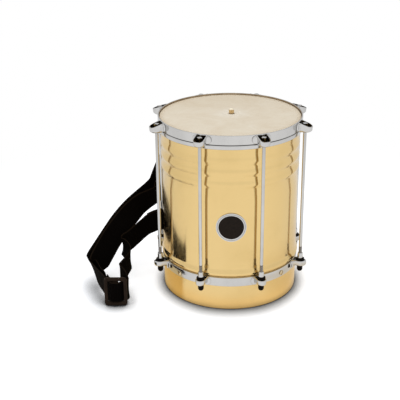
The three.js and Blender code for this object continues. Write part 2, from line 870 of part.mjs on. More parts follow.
const sewnRows = [...moved(sewnTop, upperShift, lowerShift), ...inBuckle(sewnInBuckle)];
add("strap_sliding", ribbonGeometry(slidingRows), webbing());
add("strap_sewn", ribbonGeometry(sewnRows), webbing());

export default cuica;
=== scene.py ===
"""A cuica: brass shell, natural skin with a bamboo stick, chromed hoops and rods, webbing strap.

Sizes are in millimetres, as in the part's own source, and every mesh is scaled to metres as it is finished.
The materials and the studio are in metres.
"""

import json
from math import atan2, cos, hypot, pi, radians, sin, sqrt, tan

import bmesh
import bpy
from mathutils import Euler, Matrix, Vector


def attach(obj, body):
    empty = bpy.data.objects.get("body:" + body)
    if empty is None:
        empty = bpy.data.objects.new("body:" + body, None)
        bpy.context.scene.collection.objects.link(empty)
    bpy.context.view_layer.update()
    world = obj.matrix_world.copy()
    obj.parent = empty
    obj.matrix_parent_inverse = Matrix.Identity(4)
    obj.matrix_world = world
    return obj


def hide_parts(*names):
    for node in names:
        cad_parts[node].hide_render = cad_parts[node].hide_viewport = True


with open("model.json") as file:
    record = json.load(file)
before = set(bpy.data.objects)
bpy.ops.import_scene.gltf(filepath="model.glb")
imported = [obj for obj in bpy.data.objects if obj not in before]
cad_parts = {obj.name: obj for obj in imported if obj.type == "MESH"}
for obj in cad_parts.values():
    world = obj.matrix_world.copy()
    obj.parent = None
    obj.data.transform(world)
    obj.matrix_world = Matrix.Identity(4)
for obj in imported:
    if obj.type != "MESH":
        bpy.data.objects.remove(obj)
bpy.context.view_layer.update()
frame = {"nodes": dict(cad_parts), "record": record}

MM = 0.001
X, Y, Z = range(3)
UP = Vector((0, 0, 1))
WHITE = (1, 1, 1, 1)
# Points this near are one point, and points this near a plane are on it
SAME_PLACE = 1e-4
CLOSE = 1e-3
FINE_STEPS = 192
BADGE_STEPS = 96
SMALL_STEPS = 32
SCREW_STEPS = 40
CUP_STEPS = 24

# Shell
SHELL_RADIUS = 101.6
SHELL_HEIGHT = 266.4
SHELL_WALL = 1.2
HEM_WIDTH = 4
HEM_ROUND = 1.4
HEM_TOP = 20
BEARING_ROUND = 0.5
BEAD_FOOT = 52.6
BEAD_CREST = 57.4
BEAD_TOP = 66
BEAD_PROUD = 2.6
WAVES = 3
WAVE_LOWEST = 189.2
WAVE_PITCH = 17.5
WAVE_TOP = WAVE_LOWEST + WAVES * WAVE_PITCH
WAVE_CREST_SHARE = 0.27
WAVE_FALL_SHARE = 0.78
WAVE_RISE_POWER = 1.12
WAVE_PROUD = 1.15
WAVE_SUNK = 0.3

# Skin head, flesh hoop and counterhoop
GAP = 0.3
SKIN_THICK = 0.7
SKIN_TOP = SHELL_HEIGHT + GAP + SKIN_THICK
SKIN_UNDER = SKIN_TOP - SKIN_THICK
SKIN_RINGS = (4.4, 5.2, 6.4, 8, 10.5, 14, 20, 30, 45, 60, 75, 88, 96)
PUCKER_REACH = 26
PUCKER_RISE = 0.35
CENTRED_BEYOND = 88
ASIDE_WITHIN = 12
SKIRT_INSIDE = 103
SKIRT_OUTSIDE = SKIRT_INSIDE + SKIN_THICK
SKIRT_FOOT = 252.1
FLESH_FOOT = 248.9
FLESH_TOP = 255.2
FLESH_INSIDE = SHELL_RADIUS + GAP
FLESH_OUTSIDE = 106.4
FLESH_FLOOR = FLESH_FOOT + 1.4
HOOP_INSIDE = SKIRT_OUTSIDE + GAP
HOOP_OUTSIDE = 106
HOOP_FOOT = FLESH_TOP + GAP
HOOP_TOP = HOOP_FOOT + 13.9

# Rods and lugs. A plate is (thickness, width, height)
RODS = 8
ROD_CIRCLE = 113.8
ROD_RADIUS = 2.5
ROD_BORE = ROD_RADIUS + GAP
ROD_FOOT = 38.6
ROD_SEAT = 256.8
FLANGE_RADIUS = 4.7
FLANGE_THICK = 1.6
HEAD_WIDTH = 5.8
HEAD_TOP = 267.6
CORE_RADIUS = ROD_RADIUS - 0.4
THREAD_FOOT = 58
THREAD_TOP = 74.5
THREAD_PITCH = 0.8
THREAD_DEPTH = 0.42
THREAD_STEPS = 24
LUG_BACK = HOOP_OUTSIDE + GAP
LUG_REACH = 125
LUG_FOOT = 254.4
LUG_FLOOR = LUG_FOOT + 2.1
LUG_DROP = 6.4
LUG_PLATE = (2.4, 28, 11.6)
CUP_HALF = 8.5
CUP_WALL = 1.4

# Lower ring, and what the rods pass in its eyes
BAND_FOOT = 38.4
BAND_TOP = 51.7
BAND_INSIDE = SHELL_RADIUS + GAP
BAND_OUTSIDE = BAND_INSIDE + 1.6
EYE_REACH = 123.6
EYE_FOOT = 43.6
EYE_TOP = 52.3
EYE_HALF = 7.5
EYE_WALL = 1.8
EYE_FLOOR = EYE_FOOT + 2.2
EYE_BACK = BAND_OUTSIDE - 0.8
EYE_PLATE = (1.6, 23, 11.8)
NECK_CUTS = (104.6, 105.6, 106.8, 108.2, 110)
NECK_DROP = 3.4
BUSH_FOOT = EYE_FOOT + 2.5
BUSH_BODY = 5.4
BUSH_RADIUS = 6.4
BUSH_SEAT = EYE_TOP + GAP
BUSH_TOP = BUSH_SEAT + 2.9
FERRULE_FOOT = BUSH_TOP + GAP
FERRULE_RADIUS = 4.1
FERRULE_TIP = 3.75
FERRULE_TOP = 64.2
CAP_FOOT = 33.5
CAP_RADIUS = 4.4
CAP_TOP = EYE_FOOT - GAP
CAP_FLOOR = CAP_FOOT + 2
SCREWS = 4
SCREW_SPREAD = radians(1.6)
SCREW_HEIGHT = 44.6
SCREW_RADIUS = 1.5
SCREW_LENGTH = 10
PAN_RADIUS = 3.8
PAN_EDGE = SCREW_LENGTH + 1
PAN_TOP = SCREW_LENGTH + 1.7
SLOT_HALF = 0.45
SLOT_FLOOR = 10.8
SLOT_TURN = -0.6

# Badge, stick and lashing. The badge's rim is rows of (inset, rise, round).
# A joint's ridges are rows of (radius, rise, round).
BADGE_HEIGHT = 132.2
BADGE_RADIUS = 21.8
BADGE_BACK = 0.3
BADGE_FACE = 1.4
BADGE_RIM = (
    (0, 0.45, 0.3),
    (1.2, 0.45, 0.2),
    (1.35, 0.1, 0.05),
    (2.4, 0.1, 0.05),
    (2.55, 0.35, 0.1),
    (3.6, 0.35, 0.15),
    (3.8, 0, 0.05),
    (8, 0, 0),
    (12, 0, 0),
    (17, 0, 0),
)
STICK_RADIUS = 3.75
STICK_PLACE = Vector((1.9, 3.2, 0))
STICK_TOP = SKIN_TOP + 7
STICK_LENGTH = 186
STICK_JOINTS = (0.42, 0.79)
JOINT_RIDGES = (
    (STICK_RADIUS, -3, 2),
    (4.4, -0.7, 0.5),
    (4.1, 0, 0.3),
    (4.5, 0.7, 0.5),
    (STICK_RADIUS, 3, 2),
)
PITH_FLOOR = STICK_TOP - 0.8
HOLE_ROOM = 0.36
CORD_THICK = 1.6
CORD_SIDES = 10
CORD_STEPS = 28

# Strap and buckle
STRAP_WIDTH = 34
STRAP_THICK = 1.45
RIB_PITCH = 1.9
WARP_PITCH = 1.15
BUCKLE_PLACE = Vector((-169.5, -89, 23.3))
BUCKLE_WIDTH = 33.6
BUCKLE_HEIGHT = 46
BUCKLE_THICK = 3.2
BUCKLE_ROUND = 5
BUCKLE_BORDER = 1.1
BUCKLE_EDGE = 1
BAR_EDGE = 0.9
SIDE_BAR = 5
END_BAR = 5.85
MIDDLE_BAR = (5, 2.4, BUCKLE_HEIGHT - 6)

# Camera and studio
CAMERA_PLACE = (-0.02818, -1.25272, 0.65832)
CAMERA_TURN = (67.19541, 0.45832, 0.58404)
CAMERA_LENS = 80.533
SENSOR_WIDTH = 36
FLOOR_RADIUS = 14
SHADOW_REACH = 0.037
SEEN_GLOW = 0.5
WORLD_LIGHT = 0.62
MIRRORED_WORLD = 0.92
BACK_SHADE = 0.82


def rod_angle(number):
    """The angle of rod 1 to 8 about the drum's axis."""
    return (number - 0.5) * 2 * pi / RODS - pi / 2


def placed(name, data):
    """A new object in the scene."""
    made = bpy.data.objects.new(name, data)
    bpy.context.scene.collection.objects.link(made)
    return made


def add_camera():
    """The photographer's place, in front of the drum and above it."""
    camera = placed("camera", bpy.data.cameras.new("camera"))
    camera.location = CAMERA_PLACE
    camera.rotation_euler = Euler([radians(turn) for turn in CAMERA_TURN])
    camera.data.sensor_width = SENSOR_WIDTH
    camera.data.lens = CAMERA_LENS
    bpy.context.scene.camera = camera


add_camera()


# Node helpers
def fill(tree, made, inputs):
    """Sets or links a node's sockets."""
    for key, value in inputs.items():
        if isinstance(value, bpy.types.NodeSocket):
            tree.links.new(value, made.inputs[key])
        else:
            made.inputs[key].default_value = value


def node(tree, kind, inputs, **settings):
    """A shader node, with its settings, and its sockets set or linked."""
    made = tree.nodes.new("ShaderNode" + kind)
    for key, value in settings.items():
        setattr(made, key, value)
    fill(tree, made, inputs)
    return made


def math_of(tree, operation, *values):
    """The result of one sum on numbers or sockets."""
    return node(tree, "Math", dict(enumerate(values)), operation=operation).outputs[0]


def product(tree, one, other):
    """One number times another."""
    return math_of(tree, "MULTIPLY", one, other)


def mixed(tree, share, one, other):
    """One colour mixed with another by a share."""
    one, other = ((*tone, 1) if isinstance(tone, tuple) else tone for tone in (one, other))
    return node(tree, "Mix", {0: share, 6: one, 7: other}, data_type="RGBA").outputs[2]


def tinted(tree, tone, *layers):
    """A colour with others laid over it, each given as (mask, share, colour)."""
    for mask, share, colour in layers:
        tone = mixed(tree, product(tree, mask, share), tone, colour)
    return tone


def ranged(tree, value, low, high, to_low=0, to_high=1, kind="LINEAR"):
    """A value mapped from one range to another, and held at its ends."""
    inputs = {"Value": value, "From Min": low, "From Max": high, "To Min": to_low, "To Max": to_high}
    return node(tree, "MapRange", inputs, interpolation_type=kind).outputs[0]


def eased(tree, value, low, high, to_low=0, to_high=1):
    """A value mapped from one range to another, with soft ends."""
    return ranged(tree, value, low, high, to_low, to_high, "SMOOTHSTEP")


def noise(tree, where, scale, detail, roughness=0.5, distortion=0):
    """Noise at a scale per metre."""
    names = ("Vector", "Scale", "Detail", "Roughness", "Distortion")
    values = (where, scale, detail, roughness, distortion)
    return node(tree, "TexNoise", dict(zip(names, values))).outputs["Fac"]


def stretched(tree, where, scale):
    """Coordinates scaled by axis, so that a pattern runs along one of them."""
    return node(tree, "Mapping", {"Vector": where, "Scale": scale}).outputs[0]


def object_place(tree):
    """The piece's own coordinates."""
    return node(tree, "TexCoord", {}).outputs["Object"]


def split(tree, place):
    """The three coordinates of a place."""
    return node(tree, "SeparateXYZ", {0: place}).outputs


def length_of(tree, place):
    """How far a place is from the origin."""
    return node(tree, "VectorMath", {0: place}, operation="LENGTH").outputs["Value"]


def effect(name, inputs, outputs):
    """A node group with named inputs and outputs. Returns its tree, its inputs and its output node."""
    tree = bpy.data.node_groups.new(name, "ShaderNodeTree")
    for way, sockets in (("INPUT", inputs), ("OUTPUT", outputs)):
        for socket, kind in sockets.items():
            tree.interface.new_socket(name=socket, in_out=way, socket_type="NodeSocket" + kind)
    return tree, tree.nodes.new("NodeGroupInput").outputs, tree.nodes.new("NodeGroupOutput")


def use(tree, group, inputs):
    """A shared effect placed in a material with its own values."""
    return node(tree, "Group", inputs, node_tree=group).outputs


def material(name, colour, roughness, metallic=0, specular=0.5):
    """A material with its plain values. Returns it, its tree, its shader and the piece's coordinates."""
    made = bpy.data.materials.new(name)
    made.use_nodes = True
    made.diffuse_color = (*colour, 1)
    tree = made.node_tree
    shader = tree.nodes["Principled BSDF"]
    fill(tree, shader, {"Base Color": (*colour, 1), "Roughness": roughness})
    fill(tree, shader, {"Metallic": metallic, "Specular IOR Level": specular})
    return made, tree, shader, object_place(tree)


def dressed(tree, shader, tone, rough, height, strength, depth):
    """Gives a shader its colour, its roughness, and a relief whose depth is in metres."""
    bump = node(tree, "Bump", {"Height": height, "Strength": strength, "Distance": depth})
    fill(tree, shader, {"Base Color": tone, "Roughness": rough, "Normal": bump.outputs[0]})


# Shared effects
def handled_metal():
    """Marks of handling on bright metal: cloudy patches and hairline scratches, as roughness and relief."""
    tree, given, result = effect(
        "handled_metal",
        {"Place": "Vector", "Scale": "Float", "Polish": "Float", "Marks": "Float"},
        {"Roughness": "Float", "Relief": "Float", "Film": "Float"},
    )
    cloud = noise(tree, given["Place"], given["Scale"], 5, 0.6)
    patches = eased(tree, cloud, 0.42, 0.7)
    long_way = stretched(tree, given["Place"], (1, 1, 0.06))
    hairlines = noise(tree, long_way, product(tree, given["Scale"], 60), 2)
    scratch = ranged(tree, hairlines, 0.62, 0.72)
    rough = math_of(tree, "MULTIPLY_ADD", patches, given["Marks"], given["Polish"])
    rough = math_of(tree, "MULTIPLY_ADD", scratch, product(tree, given["Marks"], 0.6), rough)
    relief = math_of(tree, "MULTIPLY_ADD", scratch, -0.3, cloud)
    fill(tree, result, {"Roughness": rough, "Relief": relief, "Film": patches})
    return tree


def edge_rub():
    """Where edges stand out, rubbed bright, and where corners are hollow, dirt together with painted shade.
    """
    tree, _, result = effect("edge_rub", {}, {"Rub": "Float", "DirtAndShade": "Float"})
    point = node(tree, "NewGeometry", {}).outputs["Pointiness"]
    # The hollow-corner mask is partly dirt and partly painted shade
    fill(tree, result, {"Rub": eased(tree, point, 0.56, 0.7), "DirtAndShade": eased(tree, point, 0.48, 0.4)})
    return tree


HANDLED = handled_metal()
EDGES = edge_rub()


# Finishes
def brass_finish(name, colour, deep, polish, wave, grain):
    """Spun brass: turning lines that blur what it mirrors up and down, and a darker film in its hollows,
    partly painted shade.
    """
    made, tree, shader, place = material(name, colour, polish, 1)
    about = node(tree, "Tangent", {}, direction_type="RADIAL", axis="Z").outputs[0]
    fill(tree, shader, {"Anisotropic": grain, "Anisotropic Rotation": 0.25, "Tangent": about})
    marks = use(tree, HANDLED, {"Place": place, "Scale": 9, "Polish": polish, "Marks": 0.05})
    edges = use(tree, EDGES, {})
    # Darker in hollow corners: film together with painted shade
    tone = tinted(tree, colour, (marks["Film"], 0.35, deep), (edges["DirtAndShade"], 0.6, deep))
    haze = ranged(tree, noise(tree, stretched(tree, place, (1, 1, 9)), 420, 3, 0.7), 0.5, 0.68)
    rough = math_of(tree, "MULTIPLY_ADD", haze, 0.16, marks["Roughness"])
    turning = noise(tree, stretched(tree, place, (1, 1, 60)), 14, 3)
    slow = noise(tree, place, 38, 1)
    relief = math_of(tree, "MULTIPLY_ADD", slow, wave, product(tree, turning, 0.02))
    relief = math_of(tree, "MULTIPLY_ADD", marks["Relief"], 0.1, relief)
    dressed(tree, shader, tone, rough, relief, 0.5, 0.0002)
    return made


def chrome_finish(name, colour, polish):
    """Bright plate over steel, with handling marks, brighter edges, and dirt with painted shade in hollow
    corners.
    """
    made, tree, shader, place = material(name, colour, polish, 1)
    marks = use(tree, HANDLED, {"Place": place, "Scale": 22, "Polish": polish, "Marks": 0.07})
    edges = use(tree, EDGES, {})
    dull = tuple(0.72 * share for share in colour)
    tone = tinted(
        tree,
        colour,
        (marks["Film"], 0.3, dull),
        # Dark in hollow corners: dirt and painted shade
        (edges["DirtAndShade"], 0.7, (0.2, 0.19, 0.17)),
        (edges["Rub"], 0.25, (0.8, 0.8, 0.79)),
    )
    dressed(tree, shader, tone, marks["Roughness"], marks["Relief"], 0.35, 0.00012)
    return made


def hollow_shade_finish():
    """Painted shade put into hollows: dark, with some bare brass."""
    made, tree, shader, place = material("painted_hollow_shade", (0.05, 0.034, 0.014), 0.4, 1)
    patch = ranged(tree, noise(tree, place, 420, 3, 0.6), 0.5, 0.66)
    tone = mixed(tree, patch, (0.016, 0.011, 0.006), (0.3, 0.2, 0.06))
    rough = ranged(tree, patch, 0, 1, 0.5, 0.3)
    dressed(tree, shader, tone, rough, noise(tree, place, 1500, 3), 0.4, 0.0002)
    return made


def hoop_finish():
    """The counterhoop's plate: bright outside, with a painted brown reflection of the skin within, and
    painted shade in the joint below.
    """
    made = chrome_finish("hoop_plate", (0.62, 0.612, 0.6), 0.09)
    tree = made.node_tree
    shader = tree.nodes["Principled BSDF"]
    tone = shader.inputs["Base Color"].links[0].from_socket
    place = object_place(tree)
    reach = length_of(tree, stretched(tree, place, (1, 1, 0)))
    # Painted reflection of the skin, brown, on the inner wall
    within = eased(tree, reach, (HOOP_INSIDE + 0.6) * MM, (HOOP_INSIDE + 0.25) * MM)
    # Painted shade in the joint over the flesh hoop
    joint = eased(tree, split(tree, place)["Z"], (HOOP_FOOT + 1) * MM, (HOOP_FOOT + 0.4) * MM)
    cloud = ranged(tree, noise(tree, place, 60, 3), 0.35, 0.65)
    skin_reflection_brown = mixed(tree, cloud, (0.26, 0.19, 0.11), (0.42, 0.33, 0.22))
    tone = tinted(tree, tone, (within, 0.9, skin_reflection_brown), (joint, 0.9, (0.03, 0.026, 0.02)))
    fill(tree, shader, {"Base Color": tone})
    return made


def skin_finish():
    """Dry natural skin: cloudy cream and tan, a paler patch round the stick, and fine pores."""
    made, tree, shader, place = material("natural_skin", (0.72, 0.63, 0.49), 0.58)
    flat = stretched(tree, place, (1, 1, 0))
    aside = node(tree, "VectorMath", {0: flat, 1: STICK_PLACE * MM}, operation="DISTANCE").outputs["Value"]
    cloud = ranged(tree, noise(tree, place, 26, 8, 0.62, 0.6), 0.34, 0.68)
    streak = noise(tree, stretched(tree, place, (1, 3, 1)), 70, 6, 0.65, 1.6)
    streak = ranged(tree, streak, 0.48, 0.75)
    far = eased(tree, split(tree, place)["Y"], -0.02, 0.1)
    fleck = ranged(tree, noise(tree, place, 260, 4, 0.7), 0.58, 0.72)
    worn = eased(tree, aside, 0.005, 0.034, 1, 0)
    # A dark ring round the stick: dirt and painted shade where it leaves the skin
    grime_and_shade = eased(tree, aside, 0.0062, 0.0044)
    rim = eased(tree, length_of(tree, flat), 0.094, 0.1025)
    tone = tinted(
        tree,
        mixed(tree, cloud, (0.69, 0.595, 0.455), (0.755, 0.675, 0.54)),
        (streak, 0.35, (0.8, 0.74, 0.62)),
        (far, 0.32, (0.6, 0.49, 0.34)),
        (fleck, 0.28, (0.5, 0.38, 0.25)),
        (worn, 0.5, (0.84, 0.8, 0.71)),
        (grime_and_shade, 0.6, (0.3, 0.21, 0.12)),
        (rim, 0.4, (0.52, 0.4, 0.25)),
    )
    relief = math_of(tree, "MULTIPLY_ADD", noise(tree, place, 900, 3, 0.6), 0.25, cloud)
    dressed(tree, shader, tone, ranged(tree, cloud, 0, 1, 0.66, 0.5), relief, 0.25, 0.0001)
    return made


def bamboo_finish():
    """Bare bamboo: long fibres, a pale end grain, and dirt with painted shade where it leaves the skin."""
    made, tree, shader, place = material("bamboo", (0.62, 0.42, 0.18), 0.5)
    height = split(tree, place)["Z"]
    fibre = noise(tree, stretched(tree, place, (1, 1, 0.02)), 1500, 4, 0.6)
    side = mixed(tree, ranged(tree, fibre, 0.35, 0.65), (0.5, 0.31, 0.11), (0.72, 0.52, 0.25))
    grain = ranged(tree, noise(tree, place, 1800, 3), 0.4, 0.6)
    end = mixed(tree, grain, (0.78, 0.66, 0.44), (0.95, 0.9, 0.78))
    cut = eased(tree, height, (STICK_TOP - 1.2) * MM, (STICK_TOP - 0.4) * MM)
    # Dark near the skin: dirt and painted shade at the stick's foot
    grime_and_shade = eased(tree, height, (SKIN_TOP + 2.2) * MM, (SKIN_TOP + 0.6) * MM)
    tone = tinted(tree, mixed(tree, cut, side, end), (grime_and_shade, 0.85, (0.12, 0.07, 0.03)))
    dressed(tree, shader, tone, ranged(tree, fibre, 0.3, 0.7, 0.42, 0.6), fibre, 0.4, 0.0002)
    return made


def twine_finish():
    """Waxed cotton twine, with its strands lying across each turn."""
    made, tree, shader, place = material("cotton_twine", (0.6, 0.52, 0.36), 0.8)
    strands = noise(tree, stretched(tree, place, (1, 1, 2.4)), 1400, 3)
    tone = mixed(tree, ranged(tree, strands, 0.35, 0.65), (0.42, 0.34, 0.21), (0.7, 0.62, 0.46))
    dressed(tree, shader, tone, ranged(tree, strands, 0.3, 0.7, 0.7, 0.9), strands, 0.8, 0.0003)
    return made


def plastic_finish(name, colour, polish):
    """Moulded plastic: fine pebbled skin, greyer where edges are rubbed."""
    made, tree, shader, place = material(name, colour, polish, specular=0.05)
    edges = use(tree, EDGES, {})
    pebble = noise(tree, place, 1600, 3, 0.6)
    cloud = noise(tree, place, 90, 4)
    pale = tuple(1.5 * share for share in colour)
    worn = tuple(0.02 + 2.2 * share for share in colour)
    tone = mixed(tree, ranged(tree, cloud, 0.35, 0.7), colour, pale)
    tone = tinted(tree, tone, (edges["Rub"], 0.55, worn))
    rough = ranged(tree, cloud, 0.3, 0.7, polish - 0.06, polish + 0.1)
    dressed(tree, shader, tone, rough, pebble, 0.35, 0.0001)
    return made


def webbing_finish():
    """Woven black webbing: ribs across the run, and firmer selvedges along both sides, painted browner as a
    highlight on their edges.
    """
    made, tree, shader, place = material("black_webbing", (0.003, 0.0021, 0.0016), 0.8, specular=0.02)
    run = node(tree, "UVMap", {}, uv_map="run").outputs[0]
    along, across, _ = split(tree, run)
    ribs = math_of(tree, "SINE", product(tree, along, 2 * pi / RIB_PITCH))
    threads = math_of(tree, "SINE", product(tree, across, 2 * pi / WARP_PITCH))
    twill = math_of(tree, "SINE", math_of(tree, "ADD", product(tree, along, pi / RIB_PITCH), threads))
    weave = math_of(tree, "MULTIPLY_ADD", ribs, 0.5, product(tree, twill, 0.22))
    # Fuller edges, and a browner tone along them as a painted highlight
    selvedge_and_sheen = eased(tree, math_of(tree, "ABSOLUTE", across), 14.4, 15.6)
    fuzz = noise(tree, place, 700, 4, 0.7)
    lit = ranged(tree, math_of(tree, "MULTIPLY_ADD", fuzz, 0.8, weave), -0.4, 1.2)
    tone = mixed(tree, lit, (0.0009, 0.0006, 0.00045), (0.0032, 0.0022, 0.0016))
    tone = tinted(tree, tone, (selvedge_and_sheen, 0.75, (0.014, 0.0092, 0.006)))
    relief = math_of(tree, "MULTIPLY_ADD", selvedge_and_sheen, 0.6, weave)
    dressed(tree, shader, tone, ranged(tree, weave, -0.7, 0.7, 0.85, 0.7), relief, 0.7, 0.0003)
    return made


def enamel_finish():
    """Dark enamel with a faint mottle."""
    made, tree, shader, place = material("badge_enamel", (0.026, 0.016, 0.011), 0.32, specular=0.1)
    mottle = noise(tree, place, 420, 5, 0.65)
    tone = mixed(tree, ranged(tree, mottle, 0.35, 0.7), (0.008, 0.0048, 0.003), (0.017, 0.0105, 0.007))
    dressed(tree, shader, tone, ranged(tree, mottle, 0.3, 0.7, 0.26, 0.4), mottle, 0.25, 0.0001)
    return made


BRASS = brass_finish("spun_brass", (0.815, 0.593, 0.268), (0.66, 0.46, 0.18), 0.1, 1, 1)
SCREW_BRASS = brass_finish("screw_brass", (0.74, 0.62, 0.42), (0.4, 0.28, 0.12), 0.2, 0.3, 0)
CHROME = chrome_finish("chrome_plate", (0.61, 0.603, 0.592), 0.08)
HOOP_PLATE = hoop_finish()
# Painted shade for the insides of the cups, the screw slots and the sides of the square heads
HOLLOW_SHADE = hollow_shade_finish()
BADGE_METAL = chrome_finish("badge_rim", (0.7, 0.7, 0.69), 0.22)
BADGE_GROUND = chrome_finish("badge_ground", (0.42, 0.41, 0.4), 0.35)
ZINC = chrome_finish("threaded_steel", (0.34, 0.315, 0.29), 0.25)
SKIN = skin_finish()
BAMBOO = bamboo_finish()
TWINE = twine_finish()
BLACK_PLASTIC = plastic_finish("moulded_black", (0.0038, 0.0023, 0.0016), 0.38)
BUCKLE_PLASTIC = plastic_finish("buckle_black", (0.017, 0.0105, 0.0068), 0.42)
WEBBING = webbing_finish()
ENAMEL = enamel_finish()


# Mesh helpers
BODY_OF = {
    node_name: body
    for body, members in frame["record"]["behaviour"]["bodies"].items()
    for node_name in members
}


def meshed(name, shape):
    """A shape made into a mesh, and then freed."""
    mesh = bpy.data.meshes.new(name)
    shape.to_mesh(mesh)
    shape.free()
    return mesh


def piece(name, shape, finishes, stands_for, crease=32):
    """A finished piece: in metres, with its finishes, riding on the body of the node that it stands for."""
    bmesh.ops.scale(shape, vec=(MM, MM, MM), verts=shape.verts)
    mesh = meshed(name, shape)
    for finish in finishes:
        mesh.materials.append(finish)
    mesh.shade_smooth()
    mesh.set_sharp_from_angle(angle=radians(crease))
    made = placed(name, mesh)
    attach(made, BODY_OF[stands_for])
    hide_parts(stands_for)
    return made


def all_of(shape):
    """Every element of a shape."""
    return shape.verts[:] + shape.edges[:] + shape.faces[:]


def open_edges(shape):
    """The edges with a face on one side only."""
    return [edge for edge in shape.edges if edge.is_boundary]


def edges_along(shape, axis):
    """The edges of a plain block that run along an axis."""
    ends = [(edge, *edge.verts) for edge in shape.edges]
    return [edge for edge, one, other in ends if abs(one.co[axis] - other.co[axis]) > CLOSE]


def new_points(result):
    """The points that an extrusion made."""
    return [item for item in result["geom"] if isinstance(item, bmesh.types.BMVert)]


def merged(shape):
    """Makes one point of those in the same place."""
    bmesh.ops.remove_doubles(shape, verts=shape.verts, dist=SAME_PLACE)


def faced(shape):
    """A shape with every face turned outwards."""
    bmesh.ops.recalc_face_normals(shape, faces=shape.faces)
    return shape


def tidied(shape):
    """A shape with what coincides merged, and every face turned outwards."""
    merged(shape)
    bmesh.ops.dissolve_degenerate(shape, dist=SAME_PLACE / 10, edges=shape.edges)
    return faced(shape)


def joined(*shapes):
    """Several shapes as one."""
    whole = bmesh.new()
    for shape in shapes:
        mesh = meshed("part", shape)
        whole.from_mesh(mesh)
        bpy.data.meshes.remove(mesh)
    return whole


def moved(shape, by):
    """A shape moved."""
    bmesh.ops.translate(shape, vec=by, verts=shape.verts)
    return shape


def rotated(shape, angle, axis="Z"):
    """A shape turned about an axis of the drum."""
    bmesh.ops.rotate(shape, cent=(0, 0, 0), matrix=Matrix.Rotation(angle, 3, axis), verts=shape.verts)
    return shape


def on_rod(shape, number):
    """A shape made on the drum's axis, moved to a rod."""
    return rotated(moved(shape, (ROD_CIRCLE, 0, 0)), rod_angle(number))


def block(size):
    """A plain block, to be shaped."""
    shape = bmesh.new()
    bmesh.ops.create_cube(shape, size=1)
    bmesh.ops.scale(shape, vec=size, verts=shape.verts)
    return shape


def bevelled(shape, edges, offset, segments):
    """Edges turned into rounds."""
    bmesh.ops.bevel(
        shape,
        geom=edges,
        offset=offset,
        segments=segments,
        affect="EDGES",
        profile=0.5,
        material=-1,
        clamp_overlap=True,
    )


def sliced(shape, axis, places):
    """Cuts across an axis at each of some places, with both sides kept."""
    normal = Matrix.Identity(3)[axis]
    for place in places:
        bmesh.ops.bisect_plane(shape, geom=all_of(shape), plane_co=normal * place, plane_no=normal)


def outline(shape, points, way=(1, 0), closed=False):
    """A line through (radius, height) points, upright over a way. Returns its points and edges."""
    verts = [shape.verts.new((way[X] * across, way[Y] * across, height)) for across, height in points]
    edges = [shape.edges.new(pair) for pair in zip(verts, verts[1:])]
    if closed:
        edges.append(shape.edges.new((verts[-1], verts[0])))
    return verts + edges


def softened(corners, closed=False, arcs=5):
    """A profile of (radius, height, round) corners, with each corner turned into an arc of its round."""
    points = []
    count = len(corners)
    for index, (across, height, rounding) in enumerate(corners):
        corner = Vector((across, height))
        if not rounding or (not closed and index in (0, count - 1)):
            points.append(corner)
            continue
        before = (Vector(corners[index - 1][:2]) - corner).normalized()
        after = (Vector(corners[(index + 1) % count][:2]) - corner).normalized()
        half = before.angle(after) / 2
        middle = corner + (before + after).normalized() * (rounding / sin(half))
        start = (corner + before * (rounding / tan(half)) - middle).normalized()
        end = (corner + after * (rounding / tan(half)) - middle).normalized()
        for step in range(arcs + 1):
            points.append(middle + start.slerp(end, step / arcs) * rounding)
    return [(point.x, point.y) for point in points]


def turned(points, steps, closed):
    """A profile of (radius, height) points turned about the Z axis."""
    shape = bmesh.new()
    line = outline(shape, points, closed=closed)
    bmesh.ops.spin(shape, geom=line, axis=UP, cent=(0, 0, 0), angle=2 * pi, steps=steps, use_merge=True)
    return tidied(shape)


def lathed(corners, steps=SMALL_STEPS, closed=False, arcs=5):
    """Rounded corners turned about the Z axis. An open profile starts and ends on the axis."""
    return turned(softened(corners, closed, arcs), steps, closed)


def wound(shape, line, turns, pitch, steps):
    """A line swept up and round the Z axis, as a thread is."""
    rise = UP * (pitch * turns / steps)
    bmesh.ops.spin(shape, geom=line, axis=UP, cent=(0, 0, 0), dvec=rise, angle=2 * pi * turns, steps=steps)


# The strap's run. A row is a point of its middle line, then how far its width leans along X and Y for 1 up.
# Zeros at the end of a row are left out. In the buckle a row is the place from the buckle's middle.
SLIDING_TOP = [
    (-40, 106.8, 225), (-42, 108.7, 225), (-45, 108.7, 225), (-50, 106.8, 224.5), (-57, 105, 221, -0.1),
    (-65, 103.5, 213, -0.3), (-74, 102, 200, -0.5), (-84, 99.5, 184, -0.7), (-94, 96, 167, -0.8),
    (-103, 93, 148, -0.6, 0.05), (-113, 88, 126, -0.3, 0.05), (-124, 79, 116, -0.3, 0.1),
    (-138, 62, 108, -0.4, 0.25), (-153, 45, 99, -0.5, 0.35), (-169, 28, 85, -0.55, 0.35),
    (-185, 13, 65, -0.6, 0.35), (-198, 1, 48, -0.6, 0.35), (-206, -5, 37, -0.55, 0.3),
    (-210, -10.5, 31, -0.45, 0.2), (-211.5, -18, 28, -0.35, 0.15), (-209, -26, 26, -0.3, 0.1),
    (-204, -38, 25, -0.2, 0.05), (-197, -52, 24, -0.12), (-189, -68, 24, -0.05), (-185, -77, 23),
]
SLIDING_IN_BUCKLE = [
    (-14.5, 8.5), (-12.2, 4.6), (-10.4, 2.6), (-9.1, 0.6), (-6.9, -2.2), (-4.6, -3.8), (-3, -4.05),
    (3, -4.05), (4.6, -3.8), (6.9, -2.2), (9.1, 0.6), (10.7, 2.6), (13, 3.2),
]
